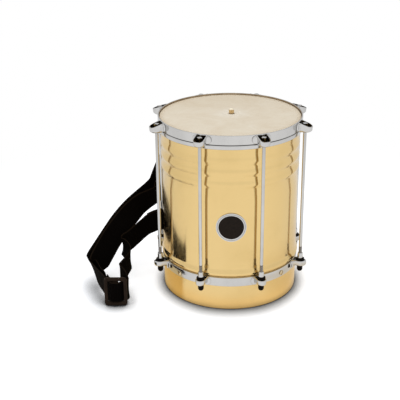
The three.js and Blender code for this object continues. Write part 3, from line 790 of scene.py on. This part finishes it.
SLIDING_FOOT = [
    (-153.5, -84.6, 23), (-151.5, -80.5, 24), (-152.5, -76, 25), (-156, -68, 28), (-161, -59, 31),
    (-165, -51, 31), (-166, -46, 31), (-164, -42, 32), (-159, -35, 36), (-155, -27, 39), (-153, -20, 42),
    (-155, -12, 46), (-160.5, -5, 50.5), (-164, -1, 53.5), (-165, 2.5, 55), (-162, 6.5, 57), (-155, 11, 60),
    (-145.5, 19, 65.5), (-137, 27, 70.5), (-128, 35, 75), (-118, 38.5, 79), (-113, 39.8, 81),
    (-109, 40, 81.5), (-106.4, 39.8, 81.5), (-103.8, 39.8, 81.5), (-101.7, 41.6, 81.5),
    (-101.3, 44.2, 81.5), (-102.6, 46.5, 81.5), (-105.1, 47.4, 81.5), (-107.3, 46.7, 81.5),
    (-109.4, 44.6, 81.5), (-111.8, 42.7, 81.5), (-115, 41.5, 81), (-124, 38.8, 77.5),
]
SEWN_TOP = [
    (-39.7, 106, 225), (-39.9, 103.6, 225), (-42, 101.5, 225), (-46.8, 99.5, 224.5), (-53, 97.3, 221, -0.1),
    (-61, 94.8, 212, -0.3, -0.1), (-70, 92, 198, -0.5, -0.2), (-80, 89.5, 181, -0.7, -0.3),
    (-90, 86.5, 162, -0.7, -0.3), (-100, 81, 139, -0.6, -0.3), (-109, 74, 119, -0.3, -0.25),
    (-118, 66, 112, 0, -0.2), (-129, 57, 109, -0.1, -0.1), (-142, 47, 104, -0.25, 0.1),
    (-155, 33.5, 95, -0.5, 0.3), (-169, 21, 81, -0.55, 0.35), (-183, 8.5, 64, -0.6, 0.35),
    (-194, -4, 47.5, -0.6, 0.35), (-199.5, -10.5, 38.5, -0.55, 0.3), (-203, -16, 32, -0.45, 0.2),
    (-202.5, -21.5, 29, -0.35, 0.15), (-200.5, -28, 28, -0.25, 0.1), (-197, -38, 26, -0.15, 0.05),
    (-194, -49, 25, -0.05), (-188.5, -59, 24), (-186, -67.5, 24), (-182.8, -76, 23),
]
SEWN_IN_BUCKLE = [
    (-10.3, 6.9), (-8.2, 3.6), (-5.6, 0), (-4, -1.75), (-2.5, -2.25), (2.5, -2.25), (3.55, -1.2),
    (3.55, 1.2), (2.5, 2.25), (-2.2, 2.4), (-5.2, 5), (-7.6, 8.8), (-10.2, 14), (-14, 22),
]


def in_buckle(rows):
    """Rows of the webbing where it is threaded through the buckle."""
    return [(BUCKLE_PLACE.x + x, BUCKLE_PLACE.y + y, BUCKLE_PLACE.z) for x, y in rows]


def spaced(low, high, steps):
    """Numbers from low up to, but not including, high."""
    return [low + (high - low) * step / steps for step in range(steps)]


def flowing(rows, steps):
    """The rows joined by a smooth line that passes through each of them."""
    result = []
    last = len(rows) - 1
    for index in range(last):
        first, second, third, fourth = (rows[min(max(index + shift, 0), last)] for shift in (-1, 0, 1, 2))
        bend = 2 * second - 2 * third + (third - first) / 2 + (fourth - second) / 2
        rise = 3 * third - 3 * second - (third - first) - (fourth - second) / 2
        for share in spaced(0, 1, steps):
            result.append(((bend * share + rise) * share + (third - first) / 2) * share + second)
    result.append(rows[-1])
    return result


def section():
    """The webbing's section, with soft edges and slightly fuller selvedges: (across, out) points."""
    half, deep = STRAP_WIDTH / 2, STRAP_THICK / 2
    face = [(half - 0.5, 0.75), (half - 1.6, 1), (half - 2.6, 0.9), (half / 2, 0.88), (0, 0.88)]
    side = [(across, deep * share) for across, share in face]
    other = [(-across, out) for across, out in reversed(side[:-1])]
    top = [(half, 0)] + side + other
    return top + [(-half, 0)] + [(across, -out) for across, out in reversed(top[1:])]


def webbing(rows):
    """A flat strap swept along its rows, with a map in millimetres: along the run, and across it."""
    shape = bmesh.new()
    chart = shape.loops.layers.uv.new("run")
    line = flowing([Vector((*row, 0, 0)[:5]) for row in rows], 4)
    middles = [Vector(row[:3]) for row in line]
    edge = section()
    loops, distance, reached = [], 0, []
    for index, row in enumerate(line):
        before, after = middles[max(index - 1, 0)], middles[min(index + 1, len(line) - 1)]
        along = (after - before).normalized()
        across = Vector((row[3], row[4], 1))
        across = (across - along * across.dot(along)).normalized()
        out = along.cross(across)
        loops.append([shape.verts.new(middles[index] + across * wide + out * deep) for wide, deep in edge])
        if index:
            distance += (middles[index] - middles[index - 1]).length
        reached.append(distance)
    count = len(edge)
    for index, (one, other) in enumerate(zip(loops, loops[1:])):
        for side in range(count):
            after = (side + 1) % count
            face = shape.faces.new((one[side], one[after], other[after], other[side]))
            corners = ((index, side), (index, after), (index + 1, after), (index + 1, side))
            for corner, (place, point) in zip(face.loops, corners):
                corner[chart].uv = (reached[place], edge[point][0])
    for loop, place in ((list(reversed(loops[0])), 0), (loops[-1], -1)):
        for corner in shape.faces.new(loop).loops:
            corner[chart].uv = (reached[place], 0)
    return faced(shape), middles, distance


def moulded_slide():
    """A three-bar slide: a rounded frame with a bar down its middle."""
    shape = block((BUCKLE_WIDTH, BUCKLE_THICK, BUCKLE_HEIGHT))
    bevelled(shape, edges_along(shape, Y), BUCKLE_ROUND, 6)
    for face in [face for face in shape.faces if abs(face.normal.y) > 0.9]:
        bmesh.ops.inset_region(shape, faces=[face], thickness=BUCKLE_BORDER, use_even_offset=True)
    wide, high = BUCKLE_WIDTH / 2 - SIDE_BAR, BUCKLE_HEIGHT / 2 - END_BAR
    sliced(shape, X, (-wide, wide))
    sliced(shape, Z, (-high, high))
    inside = []
    for face in shape.faces:
        place = face.calc_center_median()
        if abs(face.normal.y) > 0.9 and abs(place.x) < wide and abs(place.z) < high:
            inside.append(face)
    bmesh.ops.delete(shape, geom=inside, context="FACES")
    bmesh.ops.bridge_loops(shape, edges=open_edges(shape))
    faced(shape)
    sharp = [edge for edge in shape.edges if edge.is_manifold and edge.calc_face_angle() > radians(50)]
    bevelled(shape, sharp, BUCKLE_EDGE, 4)
    bar = block(MIDDLE_BAR)
    bevelled(bar, edges_along(bar, Z), BAR_EDGE, 4)
    return moved(joined(shape, bar), BUCKLE_PLACE)


def add_strap():
    """The strap's two stretches of webbing, and the buckle that both pass."""
    buckle = piece("slide_buckle", moulded_slide(), [BUCKLE_PLASTIC], "strap_buckle")
    stretches = (
        ("strap_long", "strap_sliding", SLIDING_TOP + in_buckle(SLIDING_IN_BUCKLE) + SLIDING_FOOT, [buckle]),
        ("strap_short", "strap_sewn", SEWN_TOP + in_buckle(SEWN_IN_BUCKLE), []),
    )
    for name, stands_for, rows, pieces in stretches:
        shape, middles, length = webbing(rows)
        strap = piece(name, shape, [WEBBING], stands_for, 60)
        route = [tuple(point * MM) for point in middles]
        if stands_for == "strap_sliding":
            route.reverse()


add_strap()


# Shell
def shell_offset(height):
    """How far the shell's wall stands out from its straight side at a height."""
    if BEAD_FOOT < height < BEAD_CREST:
        return BEAD_PROUD * sin((height - BEAD_FOOT) / (BEAD_CREST - BEAD_FOOT) * pi / 2)
    if BEAD_CREST <= height < BEAD_TOP:
        return BEAD_PROUD * cos((height - BEAD_CREST) / (BEAD_TOP - BEAD_CREST) * pi / 2) ** 2
    if height < WAVE_LOWEST or height >= WAVE_TOP:
        return 0
    share = (height - WAVE_LOWEST) / WAVE_PITCH % 1
    if share < WAVE_CREST_SHARE:
        rise = 1 - (1 - share / WAVE_CREST_SHARE) ** WAVE_RISE_POWER
    else:
        fall = (share - WAVE_CREST_SHARE) / (1 - WAVE_CREST_SHARE)
        rise = cos(pi / 2 * min(1, fall / WAVE_FALL_SHARE)) ** 2
    sunk = WAVE_SUNK * (1 - rise) if height < WAVE_TOP - WAVE_PITCH else 0
    return WAVE_PROUD * rise - sunk


def shell_side(radius):
    """The shell's wall from the bead up to the last wave, as (radius, height) points."""
    heights = spaced(BEAD_FOOT, BEAD_CREST, 8) + spaced(BEAD_CREST, BEAD_TOP, 12)
    heights += spaced(BEAD_TOP, WAVE_LOWEST, 6)
    for wave in range(WAVES):
        foot = WAVE_LOWEST + wave * WAVE_PITCH
        crest = foot + WAVE_CREST_SHARE * WAVE_PITCH
        heights += spaced(foot, crest, 7) + spaced(crest, foot + WAVE_PITCH, 14)
    heights.append(WAVE_TOP)
    return [(radius + shell_offset(height), height) for height in heights]


def add_shell():
    """The spun shell, from its rolled hem to its bearing edge, outside and in."""
    outer, inner = SHELL_RADIUS, SHELL_RADIUS - SHELL_WALL
    hem = inner - HEM_WIDTH
    foot = softened([(hem, 0, 0), (outer, 0, HEM_ROUND), (outer, HEM_TOP, 0)])
    edge = softened([(outer, WAVE_TOP, 0), (outer, SHELL_HEIGHT, BEARING_ROUND), (inner, SHELL_HEIGHT, 0)])
    roll = softened([(inner, HEM_TOP, 0), (inner, SHELL_WALL, 0.5), (hem, SHELL_WALL, 0.3), (hem, 0, 0)])
    points = foot + shell_side(outer) + edge[1:] + shell_side(inner)[::-1] + roll[:-1]
    piece("brass_shell", turned(points, FINE_STEPS, True), [BRASS], "shell", 40)


add_shell()


def skin_bend(steps, bend):
    """The skin's bend over the shell's edge, as (radius, height) points from its top down."""
    level = SKIN_UNDER - (SKIRT_INSIDE - SHELL_RADIUS)
    angles = [step * pi / 2 / steps for step in range(steps + 1)]
    return [(SHELL_RADIUS + bend * sin(angle), level + bend * cos(angle)) for angle in angles]


def add_skin():
    """The skin: flat and taut, drawn up a little round the stick, and bent over the shell's edge."""
    hole = STICK_RADIUS + HOLE_ROOM
    bend = SKIRT_INSIDE - SHELL_RADIUS
    points = [(ring, SKIN_TOP) for ring in (hole, *SKIN_RINGS)] + skin_bend(8, bend + SKIN_THICK)
    points += [(SKIRT_OUTSIDE, SKIRT_FOOT), (SKIRT_INSIDE, SKIRT_FOOT)] + skin_bend(4, bend)[::-1]
    shape = turned(points + [(hole, SKIN_UNDER)], FINE_STEPS, True)
    for vert in shape.verts:
        reach = hypot(vert.co.x, vert.co.y)
        if reach < PUCKER_REACH and vert.co.z > SKIN_UNDER + 0.1:
            angle = atan2(vert.co.y, vert.co.x)
            pucker = 0.12 * sin(9 * angle) + 0.08 * sin(5 * angle + 1)
            vert.co.z += (1 - reach / PUCKER_REACH) ** 2 * (PUCKER_RISE + pucker)
        aside = (CENTRED_BEYOND - reach) / (CENTRED_BEYOND - ASIDE_WITHIN)
        vert.co += STICK_PLACE * max(0, min(1, aside))
    piece("skin_head", shape, [SKIN], "head_skin", 50)


add_skin()


def add_hoops():
    """The flesh hoop's channel, and the flat counterhoop that stands on it."""
    channel = [
        (FLESH_INSIDE, FLESH_FOOT, 0.5),
        (FLESH_OUTSIDE, FLESH_FOOT, 1.5),
        (FLESH_OUTSIDE, FLESH_TOP, 1.5),
        (HOOP_INSIDE, FLESH_TOP, 0.2),
        (HOOP_INSIDE, FLESH_FLOOR, 0),
        (SKIRT_INSIDE - GAP, FLESH_FLOOR, 0),
        (SKIRT_INSIDE - GAP, FLESH_TOP, 0.2),
        (FLESH_INSIDE, FLESH_TOP, 0.2),
    ]
    piece("channel_hoop", lathed(channel, FINE_STEPS, True), [CHROME], "flesh_hoop", 50)
    band = [
        (HOOP_INSIDE, HOOP_FOOT, 0.5),
        (HOOP_OUTSIDE, HOOP_FOOT, 0.6),
        (HOOP_OUTSIDE, HOOP_TOP, 0.8),
        (HOOP_INSIDE, HOOP_TOP, 0.8),
    ]
    piece("flat_hoop", lathed(band, FINE_STEPS, True), [HOOP_PLATE], "counterhoop", 50)


add_hoops()


# Tension sets
def cup(back, nose, half, corners, arcs, drop=0):
    """A cup on the X axis: half of a turned profile, drawn out to the nose, with its sides run back."""
    shape = bmesh.new()
    profile = softened(corners, arcs=arcs)
    line = outline(shape, profile, (0, -1))
    bmesh.ops.spin(shape, geom=line, axis=UP, cent=(0, 0, 0), angle=pi, steps=CUP_STEPS)
    merged(shape)
    ends = [edge for edge in open_edges(shape) if all(abs(vert.co.x) < CLOSE for vert in edge.verts)]
    bmesh.ops.scale(shape, vec=((nose - ROD_CIRCLE) / half, 1, 1), verts=shape.verts)
    grown = new_points(bmesh.ops.extrude_edge_only(shape, edges=ends))
    bmesh.ops.translate(shape, vec=(back - ROD_CIRCLE, 0, 0), verts=grown)
    merged(moved(shape, (ROD_CIRCLE, 0, 0)))
    bmesh.ops.holes_fill(shape, edges=open_edges(shape), sides=0)
    heights = [height for _, height in profile]
    foot, top = min(heights), max(heights)
    for vert in shape.verts:
        level = (vert.co.z - foot) / (top - foot)
        share = (vert.co.x - back) / (nose - back)
        vert.co.z -= drop * share * level**1.5
    return faced(shape)


def lug_cup():
    """A rim lug's open cup, plated outside, with painted shade within."""
    inside = CUP_HALF - CUP_WALL
    corners = [
        (0, LUG_FOOT, 0),
        (CUP_HALF - 0.7, LUG_FOOT, 4.8),
        (CUP_HALF, HOOP_TOP, 0.6),
        (inside, HOOP_TOP, 0.5),
        (inside - 0.3, LUG_FLOOR, 2.2),
        (0, LUG_FLOOR, 0),
    ]
    shape = cup(LUG_BACK, LUG_REACH, CUP_HALF, corners, 8, LUG_DROP)
    for face in shape.faces:
        place, normal = face.calc_center_median(), face.normal
        inward = (place - Vector((ROD_CIRCLE, 0, place.z))).dot(normal) < 0 or normal.z > 0.5
        # The cup's inside takes the painted hollow shade
        if inward and abs(place.y) < inside + 0.1 and LUG_BACK + 0.1 < place.x < LUG_REACH - CUP_WALL:
            face.material_index = 1
    return shape


def eye_cup():
    """One of the lower ring's open eyes, whose neck grows deeper towards the band."""
    inside = EYE_HALF - EYE_WALL
    corners = [
        (0, EYE_FOOT, 0),
        (EYE_HALF - 0.3, EYE_FOOT, 3.2),
        (EYE_HALF, EYE_TOP, 1.5),
        (inside, EYE_TOP, 0.2),
        (inside, EYE_FLOOR, 0.4),
        (0, EYE_FLOOR, 0),
    ]
    shape = cup(EYE_BACK, EYE_REACH, EYE_HALF, corners, 6)
    sliced(shape, X, NECK_CUTS)
    neck = NECK_CUTS[-1]
    for vert in shape.verts:
        near = max(0, (neck - vert.co.x) / (neck - EYE_BACK))
        vert.co.z -= NECK_DROP * near**2 * (EYE_TOP - vert.co.z) / (EYE_TOP - EYE_FOOT)
    return shape


def lobes(back, size, half, level):
    """The plate behind a cup: a rounded lobe on each side that runs into the cup with a fillet."""
    thick, width, height = size
    shape = block(size)
    bevelled(shape, edges_along(shape, X), 0.44 * height, 8)
    rim = [edge for edge in shape.edges if all(vert.co.x > 0 for vert in edge.verts)]
    bevelled(shape, rim, 0.75 * thick, 6)
    fillet = 0.4 * (width / 2 - half) + 0.8
    inner = half - 0.9
    cuts = [inner, half] + [half + fillet * share for share in (0.15, 0.32, 0.5, 0.7, 1)]
    sliced(shape, Y, [side * cut for cut in cuts for side in (-1, 1)])
    middle = [face for face in shape.faces if abs(face.calc_center_median().y) < inner]
    bmesh.ops.delete(shape, geom=middle, context="FACES")
    bmesh.ops.holes_fill(shape, edges=open_edges(shape), sides=0)
    reach = back + thick / 2
    for vert in shape.verts:
        past = abs(vert.co.y) - half
        if vert.co.x > thick / 2 - 0.1 and past < fillet:
            vert.co.x += 0.55 * fillet * (1 - max(0, past) / fillet) ** 2
        out, angle = reach + vert.co.x, vert.co.y / reach
        vert.co.x, vert.co.y = out * cos(angle), out * sin(angle)
    return faced(moved(shape, (0, 0, level)))


def square_head():
    """The rod's square head for a drum key, with its corners eased and its top domed."""
    tall = HEAD_TOP - ROD_SEAT - FLANGE_THICK / 2
    shape = block((HEAD_WIDTH, HEAD_WIDTH, tall))
    bevelled(shape, edges_along(shape, Z), 0.5, 3)
    top = [edge for edge in shape.edges if all(vert.co.z > tall / 2 - CLOSE for vert in edge.verts)]
    bevelled(shape, top, 0.9, 4)
    # Sides and underside take the painted hollow shade, and the top stays plated
    for face in shape.faces:
        face.material_index = 0 if face.normal.z > 0.4 else 2
    return moved(rotated(shape, pi / 4), (0, 0, HEAD_TOP - tall / 2))


def thread():
    """The rod's thread, as one ridge that winds up it."""
    shape = bmesh.new()
    points = []
    for turn in range(int((THREAD_TOP - THREAD_FOOT) / THREAD_PITCH)):
        foot = THREAD_FOOT + turn * THREAD_PITCH
        points.append((ROD_RADIUS - THREAD_DEPTH, foot))
        points += [(ROD_RADIUS, foot + share * THREAD_PITCH) for share in (0.45, 0.55)]
    wound(shape, outline(shape, points), 1, THREAD_PITCH, THREAD_STEPS)
    return tidied(shape)


def rod():
    """A tension rod: shaft, thread, flange and head."""
    flange_top = ROD_SEAT + FLANGE_THICK
    shaft = lathed(
        [
            (0, THREAD_TOP - 0.8, 0),
            (ROD_RADIUS, THREAD_TOP, 0.2),
            (ROD_RADIUS, ROD_SEAT, 0),
            (FLANGE_RADIUS, ROD_SEAT, 0.3),
            (FLANGE_RADIUS, flange_top, 0.6),
            (0, flange_top, 0),
        ]
    )
    core = lathed(
        [(0, ROD_FOOT, 0), (CORE_RADIUS, ROD_FOOT, 0.8), (CORE_RADIUS, THREAD_TOP, 0), (0, THREAD_TOP, 0)]
    )
    ridge = thread()
    for face in [*ridge.faces, *core.faces]:
        face.material_index = 1
    return joined(shaft, core, ridge, square_head())


# The turned pieces that a rod passes, as (name, corners, closed, finish, node, slot)
BUSH = [
    (ROD_BORE, BUSH_FOOT, 0),
    (BUSH_BODY, BUSH_FOOT, 0.3),
    (BUSH_BODY, BUSH_SEAT, 0),
    (BUSH_RADIUS, BUSH_SEAT, 1.5),
    (BUSH_RADIUS, BUSH_TOP, 1),
    (ROD_BORE, BUSH_TOP, 0.2),
]
FERRULE = [
    (ROD_BORE, FERRULE_FOOT, 0),
    (FERRULE_RADIUS, FERRULE_FOOT, 0.4),
    (FERRULE_RADIUS, FERRULE_FOOT + 1.1, 0.5),
    (FERRULE_TIP, FERRULE_TOP, 0.4),
    (ROD_BORE, FERRULE_TOP, 0.1),
]
CAP = [
    (0, CAP_FOOT, 0),
    (CAP_RADIUS - 0.3, CAP_FOOT, 3.9),
    (CAP_RADIUS, CAP_TOP, 0.5),
    (ROD_BORE, CAP_TOP, 0.1),
    (ROD_BORE, CAP_FLOOR, 0),
    (0, CAP_FLOOR, 0),
]
PASSED = (
    ("bush", BUSH, True, BLACK_PLASTIC, "bushing", "plastic"),
    ("collar", FERRULE, True, CHROME, "ferrule", "chrome"),
    ("cap", CAP, False, BLACK_PLASTIC, "capped_nut", "plastic"),
)


def add_tension_sets():
    """Each rod with its lug, bushing, ferrule and capped nut."""
    for number in range(1, RODS + 1):
        plate = lobes(LUG_BACK, LUG_PLATE, CUP_HALF, (HOOP_FOOT + HOOP_TOP) / 2)
        lug = rotated(joined(lug_cup(), plate), rod_angle(number))
        piece(f"lug_{number}", lug, [CHROME, HOLLOW_SHADE], f"rim_lug_{number}", 50)
        # The third finish is the painted hollow shade, on the sides of the square head
        finishes = [CHROME, ZINC, HOLLOW_SHADE]
        piece(f"rod_{number}", on_rod(rod(), number), finishes, f"tension_rod_{number}")
        for name, corners, closed, finish, stands_for, slot in PASSED:
            shape = on_rod(lathed(corners, closed=closed), number)
            piece(f"{name}_{number}", shape, [finish], f"{stands_for}_{number}")


add_tension_sets()


def add_lower_ring():
    """The flat band with its eight open eyes."""
    corners = [
        (BAND_INSIDE, BAND_FOOT, 0.2),
        (BAND_OUTSIDE, BAND_FOOT, 0.5),
        (BAND_OUTSIDE, BAND_TOP, 0.5),
        (BAND_INSIDE, BAND_TOP, 0.2),
    ]
    parts = [lathed(corners, FINE_STEPS, True, arcs=3)]
    for number in range(1, RODS + 1):
        plate = lobes(BAND_OUTSIDE - 0.4, EYE_PLATE, EYE_HALF, (BAND_FOOT + BAND_TOP) / 2)
        parts.append(rotated(joined(eye_cup(), plate), rod_angle(number)))
    piece("eyed_ring", joined(*parts), [CHROME], "lower_ring")


add_lower_ring()


def slotted_screw():
    """A pan-head screw along the X axis, with a slot across its head."""
    corners = [
        (0, 0, 0),
        (SCREW_RADIUS, 0, 0.4),
        (SCREW_RADIUS, SCREW_LENGTH, 0),
        (PAN_RADIUS, SCREW_LENGTH, 0.2),
        (PAN_RADIUS, PAN_EDGE, 0.9),
        (0, PAN_TOP, 0),
    ]
    shape = lathed(corners, SCREW_STEPS)
    sliced(shape, Y, (-SLOT_HALF, SLOT_HALF))
    groove = []
    for face in shape.faces:
        place = face.calc_center_median()
        if face.normal.z > 0.2 and place.z > SLOT_FLOOR - 0.4 and abs(place.y) < SLOT_HALF - 0.01:
            groove.append(face)
    for vert in new_points(bmesh.ops.extrude_face_region(shape, geom=groove)):
        vert.co.z = SLOT_FLOOR
    bmesh.ops.delete(shape, geom=[face for face in groove if face.is_valid], context="FACES_ONLY")
    faced(shape)
    # The slot takes the painted hollow shade
    for face in shape.faces:
        place = face.calc_center_median()
        face.material_index = 1 if place.z > SLOT_FLOOR - 0.6 and abs(place.y) < SLOT_HALF + 0.05 else 0
    lying = rotated(rotated(shape, SLOT_TURN), pi / 2, "Y")
    return moved(lying, (BAND_OUTSIDE + GAP - SCREW_LENGTH, 0, SCREW_HEIGHT))


def add_screws():
    """The screws that pin the lower ring, and the finish of their nuts inside the shell."""
    for number in range(1, SCREWS + 1):
        angle = (number - 0.5) * 2 * pi / SCREWS - pi / 2 - (-1) ** number * SCREW_SPREAD
        shape = rotated(slotted_screw(), angle)
        piece(f"pin_screw_{number}", shape, [SCREW_BRASS, HOLLOW_SHADE], f"ring_screw_{number}")
        nut = frame["nodes"][f"screw_nut_{number}"]
        nut.data.materials.clear()
        nut.data.materials.append(ZINC)


add_screws()


def add_badge():
    """A round plate with a raised double rim, curved with the shell. Its face is bare enamel."""
    corners = [(0, BADGE_BACK, 0), (BADGE_RADIUS, BADGE_BACK, 0.2)]
    corners += [(BADGE_RADIUS - inset, BADGE_FACE + rise, rounding) for inset, rise, rounding in BADGE_RIM]
    shape = lathed(corners + [(0, BADGE_FACE, 0)], BADGE_STEPS, arcs=3)
    for face in shape.faces:
        place = face.calc_center_median()
        inset = BADGE_RADIUS - hypot(place.x, place.y)
        face.material_index = 0 if place.z > 1 and inset > 3.78 else 1
        if place.z > 1 and 1.3 < inset < 2.45:
            face.material_index = 2
    for vert in shape.verts:
        up, side, out = vert.co
        vert.co = (side, -sqrt((SHELL_RADIUS + out) ** 2 - side**2), BADGE_HEIGHT + up)
    piece("round_badge", faced(shape), [ENAMEL, BADGE_METAL, BADGE_GROUND], "badge", 40)


add_badge()


def add_stick():
    """The bamboo stick, with its joints, and a hollow in its tip."""
    foot = STICK_TOP - STICK_LENGTH
    corners = [(0, foot, 0), (STICK_RADIUS, foot, 0.5)]
    for share in STICK_JOINTS:
        middle = foot + share * STICK_LENGTH
        corners += [(radius, middle + rise, rounding) for radius, rise, rounding in JOINT_RIDGES]
    corners += [(STICK_RADIUS, STICK_TOP, 0.5), (1.1, STICK_TOP, 0.2)]
    corners += [(0.6, PITH_FLOOR, 0), (0, PITH_FLOOR, 0)]
    piece("stick", moved(lathed(corners), STICK_PLACE), [BAMBOO], "bamboo_stick")


add_stick()


def wound_cord(radius, foot, turns):
    """Turns of cord round the stick, one above the other."""
    shape = bmesh.new()
    bmesh.ops.create_circle(shape, cap_ends=False, radius=CORD_THICK / 2, segments=CORD_SIDES)
    moved(rotated(shape, pi / 2, "X"), (radius, 0, foot + CORD_THICK / 2))
    wound(shape, all_of(shape), turns, CORD_THICK, CORD_STEPS * turns)
    bmesh.ops.holes_fill(shape, edges=open_edges(shape), sides=CORD_SIDES)
    return tidied(shape)


def add_lashing():
    """Two layers of twine round the stick, close under the skin."""
    top = SKIN_UNDER - GAP
    inner = wound_cord(STICK_RADIUS + GAP + 0.5 * CORD_THICK, top - 6 * CORD_THICK, 5)
    outer = wound_cord(STICK_RADIUS + GAP + 1.3 * CORD_THICK, top - 4.5 * CORD_THICK, 3)
    piece("lashing_cord", moved(joined(inner, outer), STICK_PLACE), [TWINE], "stick_lashing")


add_lashing()


# Floor and light
def mirrored_rays(tree, path):
    """One for the rays that metal or glass sends on, and nothing for the rest."""
    return math_of(tree, "MAXIMUM", path["Is Glossy Ray"], path["Is Transmission Ray"])


def surround(tree, behind):
    """How bright the studio is in a reflection: white in front, and a little darker behind the drum."""
    slope = ranged(tree, behind, -0.7, 0.8, 1, BACK_SHADE)
    return product(tree, slope, eased(tree, behind, 0.75, 1, 1, BACK_SHADE))


def shining(tree, tone, strength):
    """Light of a colour that a surface gives."""
    return node(tree, "Emission", {"Color": tone, "Strength": strength}).outputs[0]


def add_floor():
    """A pale floor that keeps the object's shadow, and is the plain white of the background away from it."""
    shape = bmesh.new()
    bmesh.ops.create_circle(shape, cap_ends=True, radius=FLOOR_RADIUS, segments=64)
    floor = placed("floor", meshed("floor", shape))
    made, tree, shader, place = material("pale_floor", (0.86, 0.86, 0.86), 0.9, specular=0)
    floor.data.materials.append(made)
    path = node(tree, "LightPath", {}).outputs
    reach = length_of(tree, place)
    across, back, _ = split(tree, place)
    behind = math_of(tree, "DIVIDE", back, reach)

    # Seen: a shadow close under the drum
    open_share = node(tree, "AmbientOcclusion", {"Distance": SHADOW_REACH}, samples=16).outputs["AO"]
    clear = ranged(tree, behind, -0.98, -0.35, 0.965, 0.79)
    clear = math_of(tree, "MAXIMUM", clear, ranged(tree, reach, 0.14, 0.17, 0.7, 0.95))
    contact = ranged(tree, open_share, 0.5, clear, 0.02, 1)
    fill(tree, shader, {"Base Color": mixed(tree, contact, (0, 0, 0), (0.79, 0.81, 0.845))})
    lift = shining(tree, WHITE, product(tree, product(tree, path["Is Camera Ray"], SEEN_GLOW), contact))
    lit = node(tree, "AddShader", {0: shader.outputs[0], 1: lift}).outputs[0]
    far = product(tree, eased(tree, reach, 0.3, 0.7), path["Is Camera Ray"])
    seen = node(tree, "MixShader", {0: far, 1: lit, 2: shining(tree, WHITE, 1)}).outputs[0]

    # Mirrored: the studio's white, with a painted warm glow from the brass near the drum, and painted amber
    # shade beside it, left and right
    glow_and_shade_tint = mixed(tree, eased(tree, reach, 0.16, 0.105), (1, 1, 1), (1, 0.88, 0.7))
    # Painted shade beside the drum, left and right, in what the brass mirrors
    painted_side_shade = product(tree, ranged(tree, back, -0.078, -0.068), ranged(tree, across, -0.06, -0.075))
    painted_side_shade = math_of(tree, "MAXIMUM", painted_side_shade, ranged(tree, across, 0.07, 0.13, 0, 0.4))
    near = product(tree, painted_side_shade, eased(tree, reach, 0.3, 0.16))
    glow_and_shade_tint = mixed(tree, near, glow_and_shade_tint, (0.78, 0.61, 0.33))
    shade = product(tree, surround(tree, behind), ranged(tree, contact, 0, 0.5, 0.3, 1))
    mirrored = shining(tree, glow_and_shade_tint, shade)

    both = node(tree, "MixShader", {0: mirrored_rays(tree, path), 1: seen, 2: mirrored}).outputs[0]
    fill(tree, tree.nodes["Material Output"], {"Surface": both})


def add_world():
    """Even light from all round, with the plain white background where it is seen."""
    world = bpy.data.worlds.new("studio")
    bpy.context.scene.world = world
    world.use_nodes = True
    tree = world.node_tree
    path = node(tree, "LightPath", {}).outputs
    behind = split(tree, node(tree, "TexCoord", {}).outputs["Generated"])["Y"]
    light = ranged(tree, path["Is Camera Ray"], 0, 1, WORLD_LIGHT, 1)
    mirrored = product(tree, surround(tree, behind), MIRRORED_WORLD)
    change = product(tree, math_of(tree, "SUBTRACT", mirrored, light), mirrored_rays(tree, path))
    strength = math_of(tree, "ADD", light, change)
    fill(tree, tree.nodes["Background"], {"Color": WHITE, "Strength": strength})


def add_lamp(name, place, target, size, power):
    """A soft box that looks at a point, and doesn't show in the metal."""
    light = bpy.data.lights.new(name, "AREA")
    light.shape = "RECTANGLE"
    light.size, light.size_y = size
    light.energy = power
    lamp = placed(name, light)
    lamp.location = place
    lamp.visible_glossy = False
    way = Vector(target) - Vector(place)
    lamp.rotation_euler = way.to_track_quat("-Z", "Y").to_euler()


add_floor()
add_world()
add_lamp("top_box", (-0.3, -0.2, 2.2), (0, 0, 0.1), (1.8, 1.8), 17)
add_lamp("front_box", (-0.05, -2.15, 1.12), (0, 0, 0.12), (0.55, 0.3), 7)

bpy.context.scene.view_settings.view_transform = "Standard"
